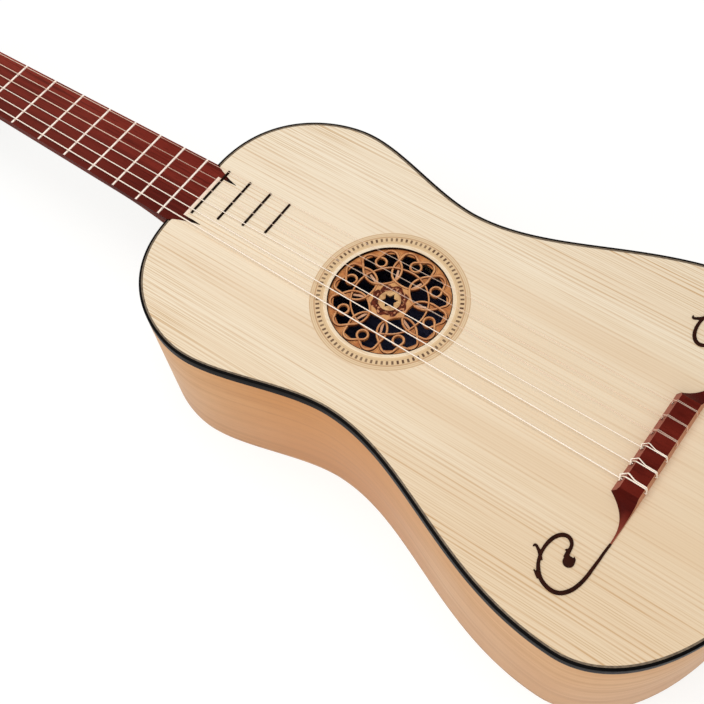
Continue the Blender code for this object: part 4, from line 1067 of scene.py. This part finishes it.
def crossings(half):
    """Places on the half path where it meets a neighbour, the garland or itself, in order."""
    middle = math.pi / PETALS
    places = []
    for i, ends in enumerate(zip(half, half[1:])):
        signs = [(math.atan2(q[1], q[0]) > middle, math.hypot(*q) > GARLAND_R, q[1] > -1e-9)
                 for q in ends]
        places += [i + 0.5 for before, after in zip(*signs) if before != after]
    return places[:4]


def turned_petal(path, k):
    """A path in a petal's own frame, laid at the k-th petal."""
    c, s = math.cos(math.tau * k / PETALS), math.sin(math.tau * k / PETALS)
    return [(out * c - across * s, out * s + across * c) for out, across in path]


def alternate(marks):
    """A smooth up-and-down height through marks of (angle, +1 or -1)."""
    marks = sorted(marks)
    closed = [(marks[-1][0] - math.tau, marks[-1][1]), *marks,
              (marks[0][0] + math.tau, marks[0][1])]

    def height(angle):
        angle %= math.tau
        for (a, p), (b, q) in zip(closed, closed[1:]):
            if a <= angle <= b:
                t = (1 - math.cos(math.pi * (angle - a) / (b - a))) / 2
                return p + (q - p) * t
        return 0.0

    return height


def ring_quads(low, high, steps):
    """A flat ring about the origin, in four-cornered parts."""
    inner, outer = circle(0, 0, low, steps), circle(0, 0, high, steps)
    return [(inner[i], outer[i], outer[(i + 1) % steps], inner[(i + 1) % steps])
            for i in range(steps)]


def ground_parts():
    """Flat parts of the pierced ground that lie under the straps, the rim and the hub."""
    whole = mirrored(half_petal())[::2]
    low, high, wide = GARLAND_R, RING_CENTRE - RING_R, 0.8
    bridge = [(low, -wide), (high, -wide), (high, wide), (low, wide)]
    parts = []
    for k in range(PETALS):
        petal = turned_petal(whole, k)
        sides = [tuple(beside_path(petal, i, off) for off in (-GROUND_STRIP, GROUND_STRIP))
                 for i in range(len(petal))]
        parts += [(a, b, d, c) for (a, b), (c, d) in next_to_each(sides)]
        parts.append(turned_petal(bridge, k))
    half_band = GARLAND_STRAP[0] / 2
    parts += ring_quads(GARLAND_R - half_band, GARLAND_R + half_band, 120)
    parts += ring_quads(RIM_R, HOLE_R + GROUND_SEAT, 120)
    return parts + ring_quads(STAR_DISC_R - 1, HUB_R, 72)


def make_rose_ground():
    """The pierced ground: windows are what the straps, rings, rim and hub leave open."""
    half = half_petal()
    outline = mirrored(half[:math.ceil(crossings(half)[3])])
    outlines = [turned_petal(outline, k) for k in range(PETALS)]
    points = []
    loops = []
    for part in ground_parts():
        area = sum(a[0] * b[1] - b[0] * a[1] for a, b in next_to_each(part))
        loops.append(list(range(len(points), len(points) + len(part))))
        points += [Vector(p) for p in (part if area > 0 else reversed(part))]
    flat, _, tris, _, _, origins = delaunay_2d_cdt(points, [], loops, 1, 1e-5)
    kept = []
    for tri, origin in zip(tris, origins):
        middle = sum((flat[i] for i in tri), Vector((0.0, 0.0))) / len(tri)
        r = middle.length
        petals = sum(middle.dot(Vector(loop[0])) > 0 and inside(middle.x, middle.y, loop)
                     for loop in outlines)
        solid = origin or r < HUB_R or petals == 0 or (petals == 2 and r > GARLAND_R)
        if solid and r > STAR_DISC_R - 1:
            kept.append(tri)
    ground = raise_flat([(v.x, v.y + ROSE_Y) for v in flat], kept, GROUND_TOP - GROUND_T,
                        GROUND_TOP)
    make("rose_ground", ground, GROUND, "rose_wood", "rose")


def make_rose_petals():
    half = half_petal()
    whole = mirrored(half)
    marks = []
    for place, sign in zip(crossings(half), (1, -1, 1, -1)):
        share = math.tau * place / len(whole)
        marks += [(share, sign), (math.tau - share, -sign)]
    weave = alternate(marks)
    for k in range(PETALS):
        petal = [(x, y + ROSE_Y) for x, y in turned_petal(whole, k)]
        make("rose_petal_%d" % (k + 1), path_strap(petal, PETAL_STRAP, weave), STRAP,
             "rose_wood")


def make_rose_lenses():
    """A bar in each lens between two petals."""
    bars = []
    for k in range(PETALS):
        turn = math.tau / PETALS * (k + 0.5)
        along = Vector((math.cos(turn), math.sin(turn)))
        beside = Vector((along.y, -along.x))
        corners = [along * r + beside * off for r, off in LENS_BAR]
        bars.append(plate([(c.x, c.y + ROSE_Y) for c in corners], [],
                          GROUND_TOP - GROUND_T, GROUND_TOP - 0.15))
    make("rose_lens_bars", together(*bars), LENS, "rose_wood")


def make_rose_garland():
    step = math.tau / PETALS
    meet = math.acos((GARLAND_R ** 2 + PETAL_CENTRE ** 2 - PETAL_R ** 2)
                     / (2 * GARLAND_R * PETAL_CENTRE))
    weave = alternate([((step * k + sign * meet) % math.tau, sign)
                       for k in range(PETALS) for sign in (1, -1)])
    garland = path_strap(circle(0, ROSE_Y, GARLAND_R, 256), GARLAND_STRAP, weave)
    make("rose_garland", garland, STRAP, "rose_wood")


def around_rose(place):
    """A ring of points; place(angle) is a point's radius and height."""
    ring = []
    for i in range(ROSE_STEPS):
        angle = math.tau * i / ROSE_STEPS
        radius, height = place(angle)
        ring.append((radius * math.cos(angle), ROSE_Y + radius * math.sin(angle), height))
    return ring


def hub_place(angle, t):
    """Radius and height on the leafy hub, a share t of the way out."""
    reach = HUB_R + LEAF_REACH[0] + LEAF_REACH[1] * (1 - math.cos(PETALS * angle)) / 2
    leaf = abs(math.cos(4 * angle)) ** 0.5 * math.sin(math.pi * min(1, t * 1.15))
    vein = math.cos(16 * angle + 5 * t)
    return STAR_DISC_R + (reach - STAR_DISC_R) * t, STRAP_FOOT + LEAF_H * leaf + VEIN_H * vein


def make_rose_hub():
    """A carved ring of leaves round the star's disc."""
    rings = [around_rose(lambda a: hub_place(a, row / HUB_ROWS))
             for row in range(HUB_ROWS + 1)]
    low = [[(x, y, GROUND_TOP - 0.1) for x, y, _ in ring] for ring in (rings[-1], rings[0])]
    make("rose_hub", skin(rings + low, closed=True), HUB, "rose_wood")


def star_radius(angle):
    """Radius of the six-pointed star hole at an angle."""
    sector = math.tau / 6
    a = angle % sector
    a = min(a, sector - a)
    bx, by = STAR_R[1] * math.cos(sector / 2), STAR_R[1] * math.sin(sector / 2)
    ax = STAR_R[0]
    # along the line from (ax, 0) to (bx, by), where it meets the ray at angle a
    return ax * by / (by * math.cos(a) + (ax - bx) * math.sin(a))


def make_rose_star():
    """A pale disc with a star cut through."""
    rings = [around_rose(lambda a: (star_radius(a) * (1 - share) + STAR_DISC_R * share,
                                    GROUND_TOP + height))
             for share, height in STAR_PROFILE]
    make("rose_star", skin(rings, closed=True), STAR, "rose_wood", smooth=40)


# Fretboard, frets, neck and pegs

def make_fretboard():
    end = STRING_LENGTH - 0.05
    outline = []
    thick = []
    for side in (1, -1):
        run = [(side * board_edge(y, side), y) for y in (end, 600.0, 540.0, 480.0, 420.0)]
        run += tongue_edge(0.0, side)
        outline += run[::side]
        run = [(side * board_edge(y, side), y) for y in (end, JOINT_Y + CUT)]
        thick += run[::side]
    board = together(plate(outline, [], -TONGUE_T, 0.0),
                     plate(thick, [], -BOARD_EDGE_T, CUT - TONGUE_T))
    bevel(make("fingerboard", board, BOARD, "rosewood", "fretboard"), 0.15)


def fret_y(number):
    return STRING_LENGTH * 2 ** (-number / 12)


def fret_solid(section, low, high, slant):
    """A bar with a (y, z) section along x, its ends slanted in towards the top."""
    top = max(z for _, z in section)
    ends = ((low, 1), (low + 0.35, 0.35), (high - 0.35, -0.35), (high, -1))
    return skin([[(x + lean * slant * max(z, 0) / top, y, z) for y, z in section]
                 for x, lean in ends])


def make_frets():
    for number in range(1, METAL_FRETS + 1):
        y = fret_y(number)
        bass, treble = (board_edge(y, side) - METAL_FRET_INSET for side in (-1, 1))
        section = [(y + METAL_FRET_R, -0.4), *arc((y, 0.05), METAL_FRET_R, (0.0, 180.0), 12),
                   (y - METAL_FRET_R, -0.4)]
        make("fret_crown_%d" % number, fret_solid(section, -bass, treble, 0.35), METAL,
             "fret_metal", "fret_%d" % number)
    for number, bass_x in enumerate(WOOD_FRET_BASS_X, METAL_FRETS + 1):
        section = [(fret_y(number) + share * WOOD_FRET_HALF, z) for share, z in
                   ((1, -0.2), (1, 0.7), (0.7, 1.15), (0, 1.32), (-0.7, 1.15), (-1, 0.7),
                    (-1, -0.2))]
        make("fret_bar_%d" % number, fret_solid(section, bass_x, WOOD_FRET_TREBLE_X, 0.2),
             FRET_WOOD, "black_wood", "wooden_fret_%d" % number)


def make_neck():
    """The shaft and its heel; its sides tuck in under the board."""
    end = HEAD_START_Y
    heel = DEPTH - HEEL_BOTTOM - BOARD_T
    stations = [JOINT_Y + HEEL_L * (i / 30) ** 1.4 for i in range(31)]
    far = stations[-1]
    stations += [far + (STRING_LENGTH - far) * (i / 22) for i in range(1, 23)]
    stations += [STRING_LENGTH + 0.25, end]
    rings = []
    for y in stations:
        share = (y - JOINT_Y) / (end - JOINT_Y)
        top = -BOARD_EDGE_T if y <= STRING_LENGTH else -BOARD_T
        drop = max(0.0, 1 - (y - JOINT_Y) / HEEL_L) ** HEEL_BEND
        depth, side_bend, back_bend = (pair[0] + (pair[1] - pair[0]) * share for pair in
                                       (NECK_T, NECK_SIDE_BEND, NECK_BACK_BEND))
        depth += (heel - depth) * drop + top + BOARD_T
        side_bend += HEEL_POINT * drop
        ring = []
        for i in range(NECK_STEPS + 1):
            angle = math.pi * i / NECK_STEPS
            across = math.cos(angle)
            half = board_edge(min(y, STRING_LENGTH), 1 if across > 0 else -1)
            half -= NECK_INSET * (1 - share)
            side = math.copysign(abs(across) ** side_bend, across)
            down = math.sin(angle) ** back_bend
            width = half + (HEEL_FOOT - half) * down * drop
            z = top - depth * down
            lean = math.tan(HEAD_TILT) * (HEAD_TOP_Z - z) if y == end else 0.0
            ring.append((width * side, y - lean, z))
        rings.append(ring)
    make("neck_shaft", skin(rings), NECK, "rosewood", "neck", smooth=50)


def head_matrix():
    tilt = Matrix.Rotation(-HEAD_TILT, 4, "X")
    return Matrix.Translation((0.0, HEAD_START_Y, HEAD_TOP_Z)) @ tilt


def peg_places():
    treble = list(zip(PEG_OFFSETS, PEG_ROWS))
    return treble + [(-x, y) for x, y in reversed(treble)]


def peg_stations():
    """Heights down a peg, each with its half width and half thickness."""
    back = -FACING_T - GAP - HEAD_T
    shank = PEG_R - 0.02
    round_ones = ((POST_H, 0.4), (POST_H, 2.2), (POST_H - 0.3, 2.9), (POST_H - 1.0, POST_R),
                  (1.0, POST_R), (0.3, 3.6), (0.05, shank), (back, shank), (back - 4.0, 3.6),
                  (back - 9.4, 3.4), (back - 9.8, 4.4), (back - 10.4, 5.4),
                  (back - 11.4, 5.5), (back - 12.1, 4.6))
    thumb = back - THUMB_START
    return [(height, radius, radius) for height, radius in round_ones] + [
        (thumb, 3.3, 3.1)] + [(thumb - THUMB_L * share, *half) for share, *half in THUMB]


def make_pegs():
    """Turned pegs with a collar and a flat, waisted thumb-piece."""
    place = head_matrix()
    for number, (x, y) in enumerate(peg_places(), 1):
        rings = [[place @ Vector((*point, height))
                  for point in circle(x, y, wide, PEG_SIDES, thick)]
                 for height, wide, thick in peg_stations()]
        name = "peg_%d" % number
        make("tuning_" + name, skin(rings), PEG, "peg_wood", name, body=name, smooth=50)


# Bridge and scrolls

def turned(point):
    """A point of the bridge or a scroll, set as askew as in the photograph."""
    x, y, z = point
    y -= BRIDGE_PIVOT_Y
    c, s = math.cos(BRIDGE_TURN), math.sin(BRIDGE_TURN)
    return (x * c - y * s, x * s + y * c + BRIDGE_PIVOT_Y, z)


def bridge_station(x):
    """Front foot, rear foot and height at a distance from the bridge's middle."""
    x = abs(x)
    out = max(0.0, x - BRIDGE_CORNER) / (WING_TIP - BRIDGE_CORNER)
    bend = 1 - (1 - out) ** WING_FRONT_BEND
    front = BRIDGE_FRONT + (WING_TIP_Y[0] - BRIDGE_FRONT) * bend
    rear = BRIDGE_REAR + (WING_TIP_Y[1] - BRIDGE_REAR) * out
    share = max(0.0, x - BRIDGE_TOP_HALF) / (WING_TIP - BRIDGE_TOP_HALF)
    sink = 1 - (1 - share) ** WING_TOP_BEND
    return front, rear, BRIDGE_T + (WING_TIP_T - BRIDGE_T) * sink


def bridge_section(x):
    """The bridge's outline across, at x, with softened top edges."""
    front, rear, tall = bridge_station(x)
    share = tall / BRIDGE_T
    lean = min(BRIDGE_LEAN * share, (front - rear) * 0.3)
    rear_lean = min(BRIDGE_REAR_LEAN * share, (front - rear) * 0.3)
    soft = min(0.45, tall * 0.2, (front - rear) * 0.1)

    def face(foot, inwards):
        """From a foot, over the softened edge, to the top."""
        way = math.copysign(soft, inwards)
        return [(foot, 0.0), (foot + inwards * (1 - soft / tall), tall - soft),
                (foot + inwards + way * 0.2, tall - soft * 0.3), (foot + inwards + way, tall)]

    return [turned((x, y, z)) for y, z in face(front, -lean) + face(rear, rear_lean)[::-1]]


def string_x(index, spread):
    """A string's place across, where the outer strings are a spread apart."""
    return spread / 2 - spread * index / (len(DIAMETERS) - 1)


def make_bridge():
    """The tie bridge, with a hole bored lengthwise for each string."""
    wing = WING_TIP - BRIDGE_TOP_HALF
    run = {0.0, 12.0, 24.0, 34.0, BRIDGE_TOP_HALF, BRIDGE_CORNER}
    run = sorted(run.union(BRIDGE_TOP_HALF + wing * (i / 36) ** 1.4 for i in range(1, 37)))
    rings = [bridge_section(x) for x in [-x for x in reversed(run[1:])] + run]
    bridge = make("tie_bridge", skin(rings), BRIDGE, "rosewood", "bridge", smooth=28)
    bores = []
    for i in range(len(DIAMETERS)):
        around = circle(string_x(i, BRIDGE_SPREAD), AT_BRIDGE, BORE_R, 16)
        bores.append(skin([[turned((x, y, z)) for x, z in around] for y in BORE_Y]))
    bore = make("bore_cutter", together(*bores), BRIDGE)
    step = bridge.modifiers.new("string_holes", "BOOLEAN")
    step.operation = "DIFFERENCE"
    step.solver = "EXACT"
    step.object = bore
    apply_modifiers(bridge)
    bpy.data.objects.remove(bore)


def stroke_solid(points, side, steps):
    """A flat stroke with a rounded top along (x, y, width) points."""
    path = smooth_path(points, steps)
    rings = []
    for i, (x, y, width) in enumerate(path):
        ax, ay, _ = path[max(i - 1, 0)]
        bx, by, _ = path[min(i + 1, len(path) - 1)]
        n = Vector((ay - by, bx - ax)).normalized() * (width / 2)
        rings.append([turned((side * (x + n.x * out), y + n.y * out, SCROLL_T * up))
                      for out, up in ((-1, -0.1), (-1, 0.7), (-0.6, 0.95), (0, 1.0),
                                      (0.6, 0.95), (1, 0.7), (1, -0.1))])
    return skin(rings)


def ball_solid(x, y, radius, side):
    """A round knob with a domed top."""
    return skin([[turned((side * px, py, SCROLL_T * up))
                  for px, py in circle(x, y, radius * share, 32)]
                 for share, up in ((1.0, -0.1), (1.0, 0.7), (0.8, 0.97), (0.4, 1.08),
                                   (0.02, 1.1))])


def make_scrolls():
    """Strokes grown into one skin and then softened."""
    for word, side in (("bass", -1), ("treble", 1)):
        solids = [stroke_solid(SCROLL_PATH, side, 5), ball_solid(*SCROLL_BALL, side)]
        solids += [stroke_solid(sprig, side, 6) for sprig in SCROLL_SPRIGS]
        scroll = make("scrollwork_" + word, together(*solids), SCROLL, "rosewood",
                      "scroll_" + word)
        step = scroll.modifiers.new("one_skin", "REMESH")
        step.mode = "VOXEL"
        step.voxel_size = SCROLL_VOXEL * MM
        step.use_smooth_shade = True
        step = scroll.modifiers.new("carved", "SMOOTH")
        step.factor = 0.5
        step.iterations = 3
        apply_modifiers(scroll)


# Strings

def knot_route(x, radius, spread):
    """The tie at the bridge, from the free end to where the string leaves its hole."""
    off = radius + KNOT_GAP
    apart = 2 * radius + STRAND_GAP
    hole = AT_BRIDGE
    top = BRIDGE_T + off
    low = hole - apart
    shoulder = BRIDGE_T * 0.86

    def front(z, out=0.0):
        return BRIDGE_FRONT - BRIDGE_LEAN * z / BRIDGE_T + off + out

    def rear(z):
        return BRIDGE_REAR + BRIDGE_REAR_LEAN * z / BRIDGE_T - off

    wide = x + spread * apart
    last = x + 0.45 * apart
    beside = last + 2 * radius + 0.1
    meet_y = front(top) + (rear(top) - front(top)) * 0.42
    return [turned(p) for p in (
        (beside, rear(hole), hole), (beside, rear(shoulder), shoulder),
        (beside, rear(top) + 0.6 * off, top), (beside, meet_y, top),
        (wide, front(top) - 0.6 * off, top), (wide - 0.2 * apart, front(shoulder), shoulder),
        (x + 0.9 * apart, front(hole, 1.15 * apart), hole + apart * 1.2),
        (x - 0.2 * apart, front(hole, apart * 0.4), hole + apart * 1.05),
        (x - apart, front(hole), hole + 0.2 * apart),
        (x - 0.7 * apart, front(low), low + 0.2 * apart), (x, front(low), low),
        (x + 0.8 * apart, front(low), low + 0.3 * apart),
        (x + 1.1 * apart, front(hole), hole + 0.1 * apart),
        (x + 0.75 * apart, front(shoulder), shoulder),
        (last, front(top) - 0.6 * off, top), (last, rear(top) + 0.6 * off, top),
        (last, rear(shoulder), shoulder), (x + 0.3 * apart, rear(hole), hole + 1.2),
        (x, rear(hole) - 0.3 * apart, hole), (x, rear(hole) + 3.0, hole))]


def winding_route(index):
    """The string's turns round its post."""
    place = head_matrix()
    px, py = peg_places()[index]
    radius = DIAMETERS[index] / 2
    side = 1 if px > 0 else -1
    round_r = POST_R + COIL_GAP + radius
    pitch = 2 * radius + STRAND_GAP
    steps = 24
    start = POST_HOLE_H - pitch * (TURNS + 0.3)
    made = []
    for i in range(int(TURNS * steps) + 1):
        turn = math.tau * i / steps
        made.append(place @ Vector((px - side * math.cos(turn) * round_r,
                                    py + math.sin(turn) * round_r,
                                    start + pitch * i / steps)))
    return made


def make_strings():
    for index, diameter in enumerate(DIAMETERS):
        radius = diameter / 2
        bridge_x = string_x(index, BRIDGE_SPREAD)
        nut_x = string_x(index, NUT_SPREAD)
        wound = index >= FIRST_WOUND
        path = round_corners(knot_route(bridge_x, radius, TIE_SPREAD[wound]), KNOT_BEND)
        path.append(Vector(turned((bridge_x, BRIDGE_FRONT + 1.2, AT_BRIDGE))))
        path += [Vector((nut_x, STRING_LENGTH + y, AT_NUT)) for y in (0.0, NUT_T)]
        path += winding_route(index)
        kind = "wound_string" if wound else "plain_string"
        make("%s_%d" % (kind, index + 1), skin(tube_rings(path, radius, STRING_SIDES)),
             WOUND if wound else PLAIN, kind, "string_%d" % (index + 1), mapped=True,
             smooth=60)


# What stays as it is in the frame, with its finish

def dress(material, names, edge=None):
    """Give frame nodes a material and, where named, softened edges."""
    for name in names:
        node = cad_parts[name]
        node.data.materials.clear()
        node.data.materials.append(material)
        if edge:
            bevel(node, edge)


def dress_frame():
    dress(INNER, ["neck_block", "tail_block", "top_bar_1", "top_bar_2", "top_bar_3",
                  "back_bar_1", "back_bar_2", "top_lining_bass", "top_lining_treble",
                  "back_lining_bass", "back_lining_treble"])
    dress(NECK, ["head"], 0.5)
    dress(FACING, ["head_facing"], 0.3)
    dress(BONE, ["nut"], 0.15)


# Floor, light and camera

def looked_at(p):
    """1 for the camera, reflections and what is seen through; 0 for other rays."""
    ray = p.add("LightPath").outputs
    seen = p.calc("MAXIMUM", ray["Is Camera Ray"], ray["Is Glossy Ray"])
    return p.calc("MAXIMUM", seen, ray["Is Transmission Ray"])


def make_world():
    world = bpy.data.worlds.new("studio")
    bpy.context.scene.world = world
    world.use_nodes = True
    p = Nodes(world.node_tree)
    background = p.tree.nodes["Background"]
    p.feed(background.inputs["Color"], STUDIO_WHITE)
    p.feed(background.inputs["Strength"], p.fade(looked_at(p), 0.0, 1.0, SKY_STRENGTH))


def floor_paint():
    """Matt for the light that it throws back, and white where it is looked at."""
    material = bpy.data.materials.new("floor")
    material.use_nodes = True
    p = Nodes(material.node_tree)
    p.tree.nodes.remove(p.tree.nodes["Principled BSDF"])
    matt = p.add("BsdfDiffuse", {"Color": (0.80, 0.80, 0.79)}).outputs[0]
    pale = p.add("BsdfDiffuse", {"Color": (0.36, 0.36, 0.36)}).outputs[0]
    glow = p.add("Emission", {"Color": STUDIO_WHITE, "Strength": FLOOR_GLOW}).outputs[0]
    bright = p.add("AddShader", {0: pale, 1: glow}).outputs[0]
    both = p.add("MixShader", {0: looked_at(p), 1: matt, 2: bright}).outputs[0]
    p.feed(p.tree.nodes["Material Output"].inputs["Surface"], both)
    return material


def make_floor():
    mesh = bpy.data.meshes.new("floor")
    corners = ((-1, -1), (1, -1), (1, 1), (-1, 1))
    mesh.from_pydata([at(x * FLOOR_HALF, y * FLOOR_HALF, -DEPTH - FLOOR_GAP)
                      for x, y in corners], [], [(0, 1, 2, 3)])
    mesh.materials.append(floor_paint())
    add_object("floor", mesh)


def make_lamp(name, place, target, size, power):
    light = bpy.data.lights.new(name, "AREA")
    light.shape = "DISK"
    light.size = size
    light.energy = power
    lamp = add_object(name, light)
    lamp.location = at(*place)
    lamp.rotation_euler = (at(*target) - at(*place)).to_track_quat("-Z", "Y").to_euler()


def make_camera():
    data = bpy.data.cameras.new("camera")
    data.lens = CAMERA_LENS
    data.sensor_width = SENSOR_W
    data.clip_start = 0.01
    forward = Vector(CAMERA_FORWARD).normalized()
    right = Vector(CAMERA_RIGHT)
    right = (right - forward * right.dot(forward)).normalized()
    up = right.cross(forward)
    camera = add_object("camera", data)
    turn = Matrix((right, up, -forward)).transposed().to_4x4()
    camera.matrix_world = Matrix.Translation(at(*CAMERA_AT)) @ turn
    bpy.context.scene.camera = camera


make_soundboard()
make_edges()
make_ribs_and_back()
make_rose_ground()
make_rose_petals()
make_rose_lenses()
make_rose_garland()
make_rose_hub()
make_rose_star()
make_fretboard()
make_frets()
make_neck()
make_pegs()
make_bridge()
make_scrolls()
make_strings()
dress_frame()
make_world()
make_floor()
for lamp_row in LAMPS:
    make_lamp(*lamp_row)
make_camera()
bpy.context.scene.view_settings.view_transform = "Standard"
